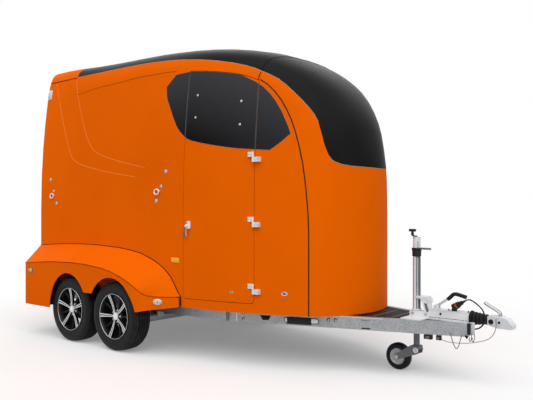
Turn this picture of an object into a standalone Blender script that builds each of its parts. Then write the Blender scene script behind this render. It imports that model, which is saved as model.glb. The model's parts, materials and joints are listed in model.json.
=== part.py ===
"""Two-horse trailer with a curved moulded nose, tandem axles and a jockey wheel.

The trailer is modelled at real size in metres. X runs forward, Y to the left and Z up.
Heights are counted from the ground. Lengths are counted from the rear axle, and one empty
then moves the whole trailer so that the middle of its length stands over the origin.
"""
import math

import bmesh
import bpy
import numpy as np
from mathutils import Matrix, Vector

# Fits between pieces
SEAT_GAP = 0.0003
PANEL_GAP = 0.0006
MOVING_GAP = 0.005
KNUCKLE_GAP = 0.0005

# Body shell
REAR_X = -0.85
BODY_HALF_WIDTH = 0.88
SILL_Z = 0.445
WALL = 0.030
FLAT_SIDE_END_X = 1.20
NOSE_TAPER_RADIUS = 3.0
BARREL_RADIUS = 8.6
NOSE_SEAM_X = 2.53
NOSE_TIP_X = 2.805
NOSE_PLUMB_Z = 1.10
ROOF_CREST_Z = 2.845
ROOF_JOINT_X = 2.112
REAR_CAP_FRONT_X = -0.36
SEAM_TRIM_WIDTH = 0.010
FLOOR_THICKNESS = 0.030
MAT_HEIGHT = 0.005
MAT_MARGIN = 0.090
MAT_REAR_X = -0.700
MAT_FRONT_X = 1.150


def crest_height(share):
    """Height that lies a share of the way from the plumb foot of the nose up to the crest."""
    return NOSE_PLUMB_Z + share * (ROOF_CREST_Z - NOSE_PLUMB_Z)


SHOULDER_Z = crest_height(0.7908)
BARREL_START_Z = crest_height(0.1146)

# Columns: shoulder x, shoulder height, centreline x, centreline height, squareness of the arch.
# The heights are shares of the rise from the plumb foot of the nose to the crest.
CAP_TABLE = (
    (REAR_X, 0.7908, REAR_X, 1.0000, 3.60),
    (-0.650, 0.7908, -0.650, 1.0000, 3.60),
    (-0.200, 0.8052, -0.200, 1.0000, 2.20),
    (0.360, 0.8241, 0.360, 0.9971, 1.60),
    (0.864, 0.8287, 0.864, 0.9885, 1.50),
    (1.400, 0.8132, 1.480, 0.9599, 1.40),
    (1.861, 0.7742, 1.990, 0.9054, 1.25),
    (ROOF_JOINT_X, 0.7249, 2.310, 0.8138, 1.10),
    (2.293, 0.6241, 2.570, 0.6791, 1.00),
    (2.418, 0.4722, 2.735, 0.4986, 0.85),
    (2.500, 0.2516, 2.800, 0.2579, 0.72),
)
CAP_STATIONS = tuple(
    (edge_x, crest_height(edge_share), centre_x, crest_height(centre_share), squareness)
    for edge_x, edge_share, centre_x, centre_share, squareness in CAP_TABLE
) + (
    (NOSE_SEAM_X, NOSE_PLUMB_Z, NOSE_TIP_X, NOSE_PLUMB_Z, 0.65),
    (NOSE_SEAM_X, SILL_Z - 0.010, NOSE_TIP_X, SILL_Z - 0.010, 0.65),
)

# Columns: x and share of the rise of the line where the orange shell meets the dark roof and hood.
ROOF_LINE = (
    (REAR_X - 0.05, 0.9112),
    (0.30, 0.9112),
    (0.88, 0.9009),
    (1.28, 0.8802),
    (1.66, 0.8458),
    (1.97, 0.8011),
    (ROOF_JOINT_X, 0.7662),
    (2.254, 0.7226),
    (2.38, 0.6567),
    (2.495, 0.5799),
    (2.56, 0.5158),
    (2.605, 0.4195),
    (2.640, 0.3553),
    (2.675, 0.3278),
    (2.740, 0.3129),
    (2.860, 0.3072),
)

# Side door, its window band and the rear doors
DOOR_REAR_X = 1.405
DOOR_FRONT_X = 2.105
DOOR_BOTTOM_Z = 0.525
DOOR_CORNER_R = 0.035
GLASS = 0.0057
GLASS_REBATE = 0.055
GLASS_MARGIN_TOP = 0.014
GLASS_MARGIN_NOSE = 0.038
# Columns: x and share of the rise of the window band's lower edge, from its rear top corner forward.
WINDOW_LOWER_EDGE = (
    (1.235, 0.8023),
    (1.119, 0.7467),
    (1.140, 0.6877),
    (1.187, 0.6372),
    (1.290, 0.5335),
    (1.386, 0.4808),
    (1.482, 0.4521),
    (1.723, 0.4223),
    (1.952, 0.4011),
    (2.225, 0.3874),
    (2.311, 0.4229),
    (2.385, 0.4613),
)
HINGE_HEIGHTS = (0.647, crest_height(0.0533), crest_height(0.3576))
HINGE_AXIS_OUT = 0.015
HINGE_RADIUS = 0.009
LEAF_LENGTH = 0.055
LEAF_HEIGHT = 0.042
LEAF_THICKNESS = 0.006
HANDLE_Z = 1.165

RAMP_THICKNESS = 0.045
RAMP_TOP_Z = crest_height(0.3725)
FLAP_TOP_Z = crest_height(0.8596)
RAMP_AXIS_Z = 0.487
FRAME_DEPTH = 0.060
FRAME_WIDTH = 0.060
REAR_KNUCKLE_RADIUS = 0.010
REAR_KNUCKLE_LENGTH = 0.060
REAR_KNUCKLE_Y = BODY_HALF_WIDTH - 0.400

# Running gear
AXLE_SPACING = 0.696
WHEEL_CENTRE_Y = BODY_HALF_WIDTH + 0.1075
TYRE_RADIUS = 0.317
TYRE_WIDTH = 0.195
RIM_RADIUS = 0.2075
RIM_WALL = 0.012
HUB_RADIUS = 0.075
HUB_SEAT_OUT = 0.015
AXLE_TUBE_RADIUS = 0.045
ARM_LENGTH = 0.150
RAIL_CENTRE_Y = BODY_HALF_WIDTH - 0.180
RAIL_WIDTH = 0.060
MEMBER_HEIGHT = 0.100
DRAWBAR_ANGLE = math.radians(18.7)
DRAWBAR_FRONT_X = 3.620
DRAWBAR_REAR_X = 1.700
DRAWBAR_TIP_Y = 0.066
DRAWBAR_WIDTH = 0.050
CROSS_MEMBERS_X = (-0.76, 0.42, 1.75)
JACK_PAD_X = 1.20
JACK_PAD_HEIGHT = 0.010
STEP_PLATE_REAR_X = 2.840
STEP_PLATE_FRONT_X = 3.100
STEP_PLATE_THICKNESS = 0.006

# Fender, one per side
FENDER_Y = BODY_HALF_WIDTH + 0.240
FENDER_WALL = 0.006
FENDER_FOOT_Z = 0.310
ARCH_TOP_Z = 0.675
TONGUE_Z = 0.508
# Columns: seam x, seam z on the body; crease x, y, z; foot z below the crease.
FENDER_SECTIONS = (
    (-0.845, 0.915, -0.845, BODY_HALF_WIDTH + 0.004, 0.905, FENDER_FOOT_Z),
    (-0.800, 0.921, -0.750, FENDER_Y, 0.735, FENDER_FOOT_Z),
    (-0.550, 0.938, -0.500, FENDER_Y, 0.757, FENDER_FOOT_Z),
    (-0.300, 0.949, -0.285, FENDER_Y, 0.772, FENDER_FOOT_Z),
    (0.000, 0.954, 0.067, FENDER_Y, 0.781, FENDER_FOOT_Z),
    (0.216, 0.952, 0.315, FENDER_Y, 0.775, FENDER_FOOT_Z),
    (0.533, 0.938, 0.551, FENDER_Y, 0.755, FENDER_FOOT_Z),
    (0.700, 0.922, 0.701, FENDER_Y, 0.732, FENDER_FOOT_Z),
    (0.850, 0.900, 0.847, FENDER_Y, 0.691, FENDER_FOOT_Z),
    (1.041, 0.839, 0.975, FENDER_Y, 0.645, 0.385),
    (1.177, 0.774, 1.048, BODY_HALF_WIDTH + 0.220, 0.596, 0.394),
    (1.269, 0.700, 1.086, BODY_HALF_WIDTH + 0.196, 0.561, 0.402),
    (1.334, 0.609, 1.130, BODY_HALF_WIDTH + 0.166, 0.540, 0.411),
    (1.365, 0.568, 1.210, BODY_HALF_WIDTH + 0.112, 0.531, 0.423),
    (1.385, 0.545, 1.300, BODY_HALF_WIDTH + 0.051, 0.529, 0.435),
    (1.392, 0.536, 1.365, BODY_HALF_WIDTH + 0.006, 0.529, 0.445),
)
# Columns: arch centre x, half length.
ARCHES = ((0.020, 0.315), (AXLE_SPACING + 0.004, 0.345))

# Overrun coupling
SHAFT_Z = 0.480
SHAFT_RADIUS = 0.025
HOUSING_REAR_X = 3.300
HOUSING_FRONT_X = 3.625
BELLOWS_FRONT_X = 3.765
COUPLING_TIP_X = 3.944
HOUSING_TOP_Z = 0.520
HOUSING_HALF_WIDTH = 0.065
LEAD_RADIUS = 0.0055
CABLE_RADIUS = 0.0028

# Jockey wheel
JOCKEY_X = 3.178
JOCKEY_TUBE_RADIUS = 0.030
JOCKEY_INNER_RADIUS = 0.024
JOCKEY_TUBE_BOTTOM_Z = 0.330
JOCKEY_TUBE_TOP_Z = 1.068
JOCKEY_COLLAR_Z = 0.925
JOCKEY_COLLAR_HEIGHT = 0.050
JOCKEY_KNOB_Z = 1.129
JOCKEY_CRANK_OUT = 0.037
JOCKEY_FLANGE_Z = 0.612
JOCKEY_TRAIL = 0.158
JOCKEY_WHEEL_RADIUS = 0.108
JOCKEY_WHEEL_WIDTH = 0.062
JOCKEY_RIM_RADIUS = 0.065

ORIGIN_X = (REAR_X + COUPLING_TIP_X) / 2

# Columns: linear base colour, roughness, metallic.
FINISHES = {
    "orange_paint": ((0.72, 0.115, 0.0), 0.32, 0.0),
    "black_gloss": ((0.012, 0.012, 0.013), 0.22, 0.0),
    "smoked_glass": ((0.02, 0.02, 0.022), 0.12, 0.0),
    "galvanised": ((0.50, 0.52, 0.54), 0.45, 0.9),
    "bright_metal": ((0.75, 0.76, 0.78), 0.30, 0.9),
    "rubber": ((0.020, 0.020, 0.021), 0.75, 0.0),
    "black_plastic": ((0.020, 0.020, 0.022), 0.50, 0.0),
    "rim_alloy": ((0.45, 0.46, 0.48), 0.28, 0.9),
    "floor_board": ((0.10, 0.09, 0.08), 0.80, 0.0),
    "lamp_red": ((0.45, 0.01, 0.01), 0.20, 0.0),
}

for leftover in list(bpy.data.objects):
    bpy.data.objects.remove(leftover, do_unlink=True)

trailer = bpy.data.collections.new("horse_trailer")
cutters = bpy.data.collections.new("cutters")
bpy.context.scene.collection.children.link(trailer)
bpy.context.scene.collection.children.link(cutters)


def empty(name, location, parent=None):
    """Add an empty that carries pieces."""
    holder = bpy.data.objects.new(name, None)
    trailer.objects.link(holder)
    holder.location = location
    holder.parent = parent
    return holder


frame_origin = empty("frame_origin", (0, 0, 0))


def pivot(name, point, parent=None):
    """Add an empty on a joint's axis, at a point given from the rear axle."""
    carrier = parent or frame_origin
    offset = Vector(point) - Vector(carrier.get("point", (0, 0, 0)))
    holder = empty(name, offset, carrier)
    holder["point"] = tuple(point)
    return holder


def material(name, finish):
    """Make the material of one piece from the table of finishes."""
    colour, roughness, metallic = FINISHES[finish]
    made = bpy.data.materials.new(name)
    made.use_nodes = True
    shader = made.node_tree.nodes["Principled BSDF"]
    shader.inputs["Base Color"].default_value = (*colour, 1)
    shader.inputs["Roughness"].default_value = roughness
    shader.inputs["Metallic"].default_value = metallic
    made.diffuse_color = (*colour, 1)
    return made


def finish_piece(piece, name, finish, carrier=None):
    """Name a piece, give it its material and hang it on what carries it."""
    piece.name = name
    piece.data.name = name
    piece.data.materials.clear()
    piece.data.materials.append(material(name, finish))
    holder = carrier or frame_origin
    piece.parent = holder
    piece.location = piece.location - Vector(holder.get("point", (0, 0, 0)))
    return piece


def new_object(name, mesh, hidden=False):
    """Link a mesh as a piece, or as a wire cutter."""
    made = bpy.data.objects.new(name, mesh)
    (cutters if hidden else trailer).objects.link(made)
    if hidden:
        made.hide_render = True
        made.display_type = "WIRE"
        made.parent = frame_origin
    return made


def mesh_from_bmesh(name, bm):
    """Turn a bmesh into a mesh."""
    mesh = bpy.data.meshes.new(name)
    bm.to_mesh(mesh)
    bm.free()
    return mesh


def box(name, low, high, hidden=False, bevel=0.0):
    """Add a box between two corners, with its edges rounded by a bevel."""
    size = Vector(high) - Vector(low)
    bm = bmesh.new()
    bmesh.ops.create_cube(bm, size=1)
    bmesh.ops.scale(bm, vec=size, verts=bm.verts)
    made = new_object(name, mesh_from_bmesh(name, bm), hidden)
    made.location = (Vector(low) + Vector(high)) / 2
    if bevel:
        rounded_edges = made.modifiers.new("rounded_edges", "BEVEL")
        rounded_edges.width = bevel
        rounded_edges.segments = 2
    return made


def cylinder(name, radius, start, end, segments=24, hidden=False, end_radius=None):
    """Add a cylinder or cone from one point to another."""
    run = Vector(end) - Vector(start)
    bm = bmesh.new()
    top_radius = radius if end_radius is None else end_radius
    bmesh.ops.create_cone(
        bm, cap_ends=True, segments=segments, radius1=radius, radius2=top_radius, depth=run.length
    )
    turn = run.to_track_quat("Z", "Y").to_matrix()
    bmesh.ops.rotate(bm, matrix=turn, verts=bm.verts)
    mesh = mesh_from_bmesh(name, bm)
    mesh.shade_smooth()
    mesh.set_sharp_from_angle(angle=math.radians(40))
    made = new_object(name, mesh, hidden)
    made.location = (Vector(start) + Vector(end)) / 2
    return made


def evaluated_mesh(piece):
    """Give the mesh of an object with its modifiers applied."""
    bpy.context.view_layer.update()
    depsgraph = bpy.context.evaluated_depsgraph_get()
    mesh = bpy.data.meshes.new_from_object(piece.evaluated_get(depsgraph))
    bm = bmesh.new()
    bm.from_mesh(mesh)
    bmesh.ops.remove_doubles(bm, verts=bm.verts, dist=0.00001)
    bm.to_mesh(mesh)
    bm.free()
    return mesh


def extruded(name, outline, low, high, axis="Y", hidden=False):
    """Extrude a flat outline of (across, up) points between two distances along an axis."""
    flat = bpy.data.curves.new(name, "CURVE")
    flat.dimensions = "2D"
    flat.fill_mode = "BOTH"
    flat.extrude = (high - low) / 2
    line = flat.splines.new("POLY")
    line.points.add(len(outline) - 1)
    for point, (across, up) in zip(line.points, outline):
        point.co = (across, up, 0, 1)
    line.use_cyclic_u = True
    sketch = bpy.data.objects.new(name, flat)
    cutters.objects.link(sketch)
    mesh = evaluated_mesh(sketch)
    bpy.data.objects.remove(sketch)
    middle = (low + high) / 2
    turns = {
        "Y": Matrix(((1, 0, 0, 0), (0, 0, 1, middle), (0, 1, 0, 0), (0, 0, 0, 1))),
        "X": Matrix(((0, 0, 1, middle), (1, 0, 0, 0), (0, 1, 0, 0), (0, 0, 0, 1))),
        "Z": Matrix(((1, 0, 0, 0), (0, 1, 0, 0), (0, 0, 1, middle), (0, 0, 0, 1))),
    }
    mesh.transform(turns[axis])
    bm = bmesh.new()
    bm.from_mesh(mesh)
    bmesh.ops.recalc_face_normals(bm, faces=bm.faces)
    bm.to_mesh(mesh)
    bm.free()
    return new_object(name, mesh, hidden)


def boolean(piece, cutter, operation="DIFFERENCE"):
    """Cut, join or trim a piece with another object."""
    step = piece.modifiers.new(cutter.name, "BOOLEAN")
    step.operation = operation
    step.object = cutter
    step.solver = "EXACT"
    return piece


def settle(piece):
    """Apply a piece's modifiers to its mesh."""
    mesh = evaluated_mesh(piece)
    piece.modifiers.clear()
    piece.data = mesh
    return piece


def joined(piece, *others):
    """Join pieces into one body and remove the ones that were added."""
    for other in others:
        boolean(piece, other, "UNION")
    settle(piece)
    for other in others:
        bpy.data.objects.remove(other)
    return piece


def turned(name, profile, steps, hidden=False):
    """Turn a closed profile of (radius, height) points about the local Z axis."""
    mesh = bpy.data.meshes.new(name)
    count = len(profile)
    edges = [(i, (i + 1) % count) for i in range(count)]
    mesh.from_pydata([(radius, 0, height) for radius, height in profile], edges, [])
    made = new_object(name, mesh, hidden)
    screw = made.modifiers.new("screw", "SCREW")
    screw.steps = steps
    screw.render_steps = steps
    screw.use_merge_vertices = True
    screw.merge_threshold = 0.00001
    screw.use_smooth_shade = True
    settle(made)
    bm = bmesh.new()
    bm.from_mesh(made.data)
    bmesh.ops.recalc_face_normals(bm, faces=bm.faces)
    bm.to_mesh(made.data)
    bm.free()
    made.data.set_sharp_from_angle(angle=math.radians(35))
    return made


def tube(name, points, radius, resolution=2, hidden=False):
    """Run a round bar or pipe through points and close its ends."""
    path = bpy.data.curves.new(name, "CURVE")
    path.dimensions = "3D"
    path.bevel_depth = radius
    path.bevel_resolution = resolution
    path.use_fill_caps = True
    line = path.splines.new("POLY")
    line.points.add(len(points) - 1)
    for point, place in zip(line.points, points):
        point.co = (*place, 1)
    sketch = bpy.data.objects.new(name, path)
    cutters.objects.link(sketch)
    mesh = evaluated_mesh(sketch)
    bpy.data.objects.remove(sketch)
    mesh.shade_smooth()
    return new_object(name, mesh, hidden)


def smooth_path(points, steps):
    """Round a route through its own points by a Catmull-Rom curve."""
    ends = [2 * np.array(points[0]) - points[1], *map(np.array, points), 2 * np.array(points[-1]) - points[-2]]
    route = []
    for a, b, c, d in zip(ends, ends[1:], ends[2:], ends[3:]):
        for t in np.linspace(0, 1, steps, endpoint=False):
            route.append(
                0.5 * (2 * b + (c - a) * t + (2 * a - 5 * b + 4 * c - d) * t * t + (3 * b - a - 3 * c + d) * t**3)
            )
    route.append(np.array(points[-1]))
    return [tuple(float(value) for value in place) for place in route]


def laid(points):
    """Round a route through its points and keep its first and last lengths straight."""
    return [points[0], *smooth_path(points[1:-1], 2), points[-1]]


def signed_area(outline):
    """Give the area of an outline, positive when it runs anticlockwise."""
    points = np.array(outline)
    following = np.roll(points, -1, 0)
    return float(np.sum(points[:, 0] * following[:, 1] - following[:, 0] * points[:, 1]) / 2)


def moved_sides(points, distance):
    """Move the corners of an anticlockwise outline so that its sides go inward by a distance."""
    moved = []
    for before, point, after in zip(points[-1:] + points[:-1], points, points[1:] + points[:1]):
        first = (point - before) / np.linalg.norm(point - before)
        second = (after - point) / np.linalg.norm(after - point)
        normal = np.array((-first[1] - second[1], first[0] + second[0]))
        normal = normal / np.linalg.norm(normal)
        slant = max(0.3, float(normal @ np.array((-first[1], first[0]))))
        moved.append(point + normal * distance / slant)
    return moved


def inset(outline, distance):
    """Move the sides of a closed outline inward, and merge the corners of sides that vanish."""
    points = [np.array(point, float) for point in outline]
    if signed_area(outline) < 0:
        points.reverse()
    while True:
        moved = moved_sides(points, distance)
        turned_over = [
            index
            for index in range(len(points))
            if (moved[index] - moved[index - 1]) @ (points[index] - points[index - 1]) <= 1e-9
        ]
        if not turned_over:
            return [(float(across), float(up)) for across, up in moved]
        index = turned_over[0]
        points[index] = (points[index] + points[index - 1]) / 2
        del points[index - 1]


def rounded(outline, corners, segments=4):
    """Replace chosen corners of an outline, given as {index: radius}, by arcs."""
    made = []
    count = len(outline)
    for index, point in enumerate(outline):
        if index not in corners:
            made.append(tuple(point))
            continue
        corner = np.array(point, float)
        before = np.array(outline[index - 1], float) - corner
        after = np.array(outline[(index + 1) % count], float) - corner
        before /= np.linalg.norm(before)
        after /= np.linalg.norm(after)
        half = math.acos(max(-1, min(1, float(before @ after)))) / 2
        reach = corners[index] / math.tan(half)
        start = corner + before * reach
        end = corner + after * reach
        for step in range(segments + 1):
            t = step / segments
            bulge = (1 - t) ** 2 * start + 2 * t * (1 - t) * corner + t * t * end
            made.append((float(bulge[0]), float(bulge[1])))
    return made


def side_half_width(x, z):
    """Half width of the body side: flat behind, tapering to the nose, leaning in near the roof."""
    taper = max(0.0, x - FLAT_SIDE_END_X)
    lean = max(0.0, z - BARREL_START_Z)
    taper_drop = NOSE_TAPER_RADIUS - math.sqrt(NOSE_TAPER_RADIUS**2 - taper**2)
    return BODY_HALF_WIDTH - taper_drop - lean**2 / (2 * BARREL_RADIUS)


def side_slopes(x, z):
    """How fast the half width changes with x and with z."""
    taper = max(0.0, x - FLAT_SIDE_END_X)
    lean = max(0.0, z - BARREL_START_Z)
    return -taper / math.sqrt(NOSE_TAPER_RADIUS**2 - taper**2), -lean / BARREL_RADIUS


def blended_slope(before, after):
    """A slope between two chords that never overshoots either of them."""
    agree = before * after > 0
    total = np.where(agree, before + after, 1.0)
    return np.where(agree, 2 * before * after / total, 0.0)


def cap_rows(steps):
    """Fill in the table of cap stations with a curve through its rows."""
    table = [np.array(row) for row in CAP_STATIONS]
    lengths = [max(1e-6, float(np.linalg.norm((after - row)[:2]))) for row, after in zip(table, table[1:])]
    chords = [(after - row) / length for row, after, length in zip(table, table[1:], lengths)]
    slopes = [chords[0]]
    slopes += [blended_slope(before, after) for before, after in zip(chords, chords[1:])]
    slopes.append(chords[-1])
    rows = []
    for index, length in enumerate(lengths):
        for step in range(steps):
            t = step / steps
            rows.append(
                (2 * t**3 - 3 * t**2 + 1) * table[index]
                + (t**3 - 2 * t**2 + t) * length * slopes[index]
                + (3 * t**2 - 2 * t**3) * table[index + 1]
                + (t**3 - t**2) * length * slopes[index + 1]
            )
    rows.append(table[-1])
    return rows


def cap_point(row, share):
    """A point of the cap's arch, from the centreline at 0 to the shoulder at 1."""
    edge_x, edge_z, centre_x, centre_z, squareness = row
    edge_y = side_half_width(edge_x, edge_z)
    slope_x, slope_z = side_slopes(edge_x, edge_z)
    corner_y = edge_y + slope_x * (centre_x - edge_x) + slope_z * (centre_z - edge_z)
    weights = ((1 - share) ** 2, 2 * squareness * share * (1 - share), share**2)
    total = sum(weights)
    centre = np.array((centre_x, 0.0, centre_z))
    corner = np.array((centre_x, corner_y, centre_z))
    edge = np.array((edge_x, edge_y, edge_z))
    return (weights[0] * centre + weights[1] * corner + weights[2] * edge) / total


CAP_STEPS = 3
ROWS = cap_rows(CAP_STEPS)
JOINT_INDEX = next(i for i, row in enumerate(ROWS) if row[0] > ROOF_JOINT_X - 1e-6)
SHOULDER = [(float(row[0]), float(row[1])) for row in ROWS]


def loft(name, grid, outward, hidden=False):
    """Skin a grid of points whose faces look along the outward direction."""
    bm = bmesh.new()
    verts = [[bm.verts.new(point) if point is not None else None for point in line] for line in grid]
    for line, following in zip(verts, verts[1:]):
        for a, b, c, d in zip(line, line[1:], following[1:], following):
            if None not in (a, b, c, d):
                bm.faces.new((a, b, c, d))
    loose = [vert for vert in bm.verts if not vert.link_faces]
    bmesh.ops.delete(bm, geom=loose, context="VERTS")
    bm.normal_update()
    facing = sum(face.normal.dot(Vector(outward)) * face.calc_area() for face in bm.faces)
    if facing < 0:
        bmesh.ops.reverse_faces(bm, faces=bm.faces)
    mesh = mesh_from_bmesh(name, bm)
    return new_object(name, mesh, hidden)


def thicken(skin, inner, outer=0.0):
    """Give a skin a wall that reaches from the inner depth to the outer height."""
    wall = skin.modifiers.new("wall", "SOLIDIFY")
    wall.thickness = inner + outer
    wall.offset = (outer - inner) / (inner + outer)
    wall.use_even_offset = True
    wall.use_rim = True
    return skin


SIDE_HEIGHTS = (0.0, 0.42, 0.60, 0.75, 0.88, 1.0)
BAND_SHARES = (0.9, 0.8, 0.7, 0.6, 0.5)


def side_grid(side):
    """Points of one body side and of the roof band above its shoulder."""
    grid = []
    low_z = SILL_Z - 0.010
    front_columns = [ROOF_JOINT_X + step * 0.12 for step in range(1, 5)]
    columns = [(float(row[0]), float(row[1]), row) for row in ROWS[: JOINT_INDEX + 1]]
    columns += [(x, float(ROWS[JOINT_INDEX][1]), None) for x in front_columns]
    for x, top_z, row in columns:
        line = []
        for share in SIDE_HEIGHTS:
            z = low_z + (top_z - low_z) * share
            line.append((x, side * side_half_width(x, z), z))
        for share in BAND_SHARES:
            if row is None:
                line.append(None)
                continue
            point = cap_point(row, share)
            line.append((float(point[0]), side * float(point[1]), float(point[2])))
        grid.append(line)
    return grid


def side_layer(name, side, inner, outer=0.0, hidden=False):
    """A layer of the body side between two depths."""
    skin = loft(name, side_grid(side), (0, side, 0), hidden)
    return thicken(skin, inner, outer)


CAP_SHARES = tuple(round(step * 0.1, 2) for step in range(11)) + (1.1,)


def cap_layer(name, inner, outer=0.0, hidden=False):
    """A layer of the moulded cap over roof and nose between two depths."""
    shares = [-share for share in reversed(CAP_SHARES[1:])] + list(CAP_SHARES)
    grid = []
    for row in ROWS:
        line = []
        for share in shares:
            point = cap_point(row, abs(share))
            line.append((float(point[0]), float(math.copysign(point[1], share)), float(point[2])))
        grid.append(line)
    return thicken(loft(name, grid, (0.3, 0, 1), hidden), inner, outer)


FAR = ROOF_CREST_Z + 0.355
WIDE = 1.3


def roof_line(low_x, high_x):
    """The part of the roof line between two lengths."""
    curve = smooth_path([(x, crest_height(share)) for x, share in ROOF_LINE], 2)
    xs = [x for x, _ in curve]
    zs = [z for _, z in curve]
    inner = [(x, z) for x, z in curve if low_x + 1e-6 < x < high_x - 1e-6]
    ends = [(x, float(np.interp(x, xs, zs))) for x in (low_x, high_x)]
    return [ends[0], *inner, ends[1]]


NOSE_SEAM = SHOULDER[JOINT_INDEX:-1] + [(NOSE_SEAM_X, SILL_Z - 0.05)]
WALL_REGION = (
    [(REAR_X, SILL_Z)]
    + [(NOSE_SEAM_X, SILL_Z)]
    + list(reversed(NOSE_SEAM[:-1]))
    + list(reversed(roof_line(REAR_X, ROOF_JOINT_X)))
)
ROOF_REGION = roof_line(REAR_CAP_FRONT_X, ROOF_JOINT_X) + [(ROOF_JOINT_X, FAR), (REAR_CAP_FRONT_X, FAR)]
REAR_CAP_REGION = roof_line(REAR_X, REAR_CAP_FRONT_X) + [(REAR_CAP_FRONT_X, FAR), (REAR_X, FAR)]
ROOF_LINE_END_Z = crest_height(ROOF_LINE[-1][1])
HOOD_REGION = roof_line(ROOF_JOINT_X, ROOF_LINE[-1][0]) + [(FAR, ROOF_LINE_END_Z), (FAR, FAR), (ROOF_JOINT_X, FAR)]
NOSE_REGION = (
    list(reversed(NOSE_SEAM[:-1]))
    + roof_line(ROOF_JOINT_X, ROOF_LINE[-1][0])
    + [(FAR, ROOF_LINE_END_Z), (FAR, SILL_Z), (NOSE_SEAM_X, SILL_Z)]
)


def shoulder_z(x):
    """Height of the shoulder line over a length."""
    xs = [point[0] for point in SHOULDER[: JOINT_INDEX + 1]]
    zs = [point[1] for point in SHOULDER[: JOINT_INDEX + 1]]
    return float(np.interp(x, xs, zs))


def glass_outline():
    """The whole window band in side view, under the shoulder and behind the nose seam."""
    edge = [(x, crest_height(share)) for x, share in WINDOW_LOWER_EDGE]
    lower = [edge[0], *smooth_path(edge[1:-2], 2), *edge[-2:]]
    top = [(x, z - GLASS_MARGIN_TOP) for x, z in SHOULDER if edge[0][0] + 0.05 < x < ROOF_JOINT_X - 0.09]
    nose = []
    for x, z in SHOULDER[JOINT_INDEX:]:
        if z > edge[-1][1] + 0.05:
            nose.append((x - GLASS_MARGIN_NOSE, z - GLASS_MARGIN_TOP))
    return lower + list(reversed(nose)) + list(reversed(top))


def clipped(outline, low_x, high_x):
    """Keep the part of an outline between two lengths."""
    kept = list(outline)
    for limit, sign in ((low_x, 1), (high_x, -1)):
        made = []
        for start, end in zip(kept, kept[1:] + kept[:1]):
            inside_start = sign * (start[0] - limit) >= 0
            inside_end = sign * (end[0] - limit) >= 0
            if inside_start:
                made.append(start)
            if inside_start != inside_end:
                t = (limit - start[0]) / (end[0] - start[0])
                made.append((limit, start[1] + t * (end[1] - start[1])))
        kept = made
    return kept


def door_outline():
    """The side door in side view, with its top under the shoulder."""
    top = [
        (x, z - GLASS_MARGIN_TOP + 0.004)
        for x, z in SHOULDER
        if DOOR_REAR_X + 0.01 < x < DOOR_FRONT_X - 0.01
    ]
    corners = [
        (DOOR_REAR_X, DOOR_BOTTOM_Z),
        (DOOR_FRONT_X, DOOR_BOTTOM_Z),
        (DOOR_FRONT_X, shoulder_z(DOOR_FRONT_X) - GLASS_MARGIN_TOP + 0.004),
    ]
    corners += list(reversed(top))
    corners += [(DOOR_REAR_X, shoulder_z(DOOR_REAR_X) - GLASS_MARGIN_TOP + 0.004)]
    return rounded(corners, {0: DOOR_CORNER_R, 1: DOOR_CORNER_R})


def side_prism(name, outline, side):
    """A cutter that runs through one side of the body."""
    low, high = sorted((side * 0.2, side * WIDE))
    return extruded(name, outline, low, high, "Y", hidden=True)


def hinge_point(side, z):
    """Where the side door's hinge axis passes at a height, outside the skin."""
    return (DOOR_FRONT_X, side * (side_half_width(DOOR_FRONT_X, HINGE_HEIGHTS[1]) + HINGE_AXIS_OUT), z)


def hinge_leaf(name, side, z, direction):
    """A hinge leaf with its knuckle; the door's sits over the body's, so that the door lifts off."""
    axis_x, axis_y, _ = hinge_point(side, z)
    low_z = z + KNUCKLE_GAP / 2 if direction < 0 else z - LEAF_HEIGHT
    high_z = z + LEAF_HEIGHT if direction < 0 else z - KNUCKLE_GAP / 2
    far_x = axis_x + direction * LEAF_LENGTH
    near_x = axis_x + direction * MOVING_GAP
    inner_y = side * side_half_width((far_x + near_x) / 2, z) - side * LEAF_THICKNESS
    outer_y = axis_y + side * LEAF_THICKNESS * 0.4
    bridge_y = axis_y - side * LEAF_THICKNESS * 0.6
    outline = [
        (far_x, inner_y),
        (near_x, inner_y),
        (near_x, bridge_y),
        (axis_x, bridge_y),
        (axis_x, outer_y),
        (far_x, outer_y),
    ]
    leaf = extruded(name, outline, low_z + 0.001, high_z - 0.001, "Z")
    knuckle = cylinder(name + "_knuckle", HINGE_RADIUS, (axis_x, axis_y, low_z), (axis_x, axis_y, high_z), 16)
    return joined(leaf, knuckle)


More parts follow.
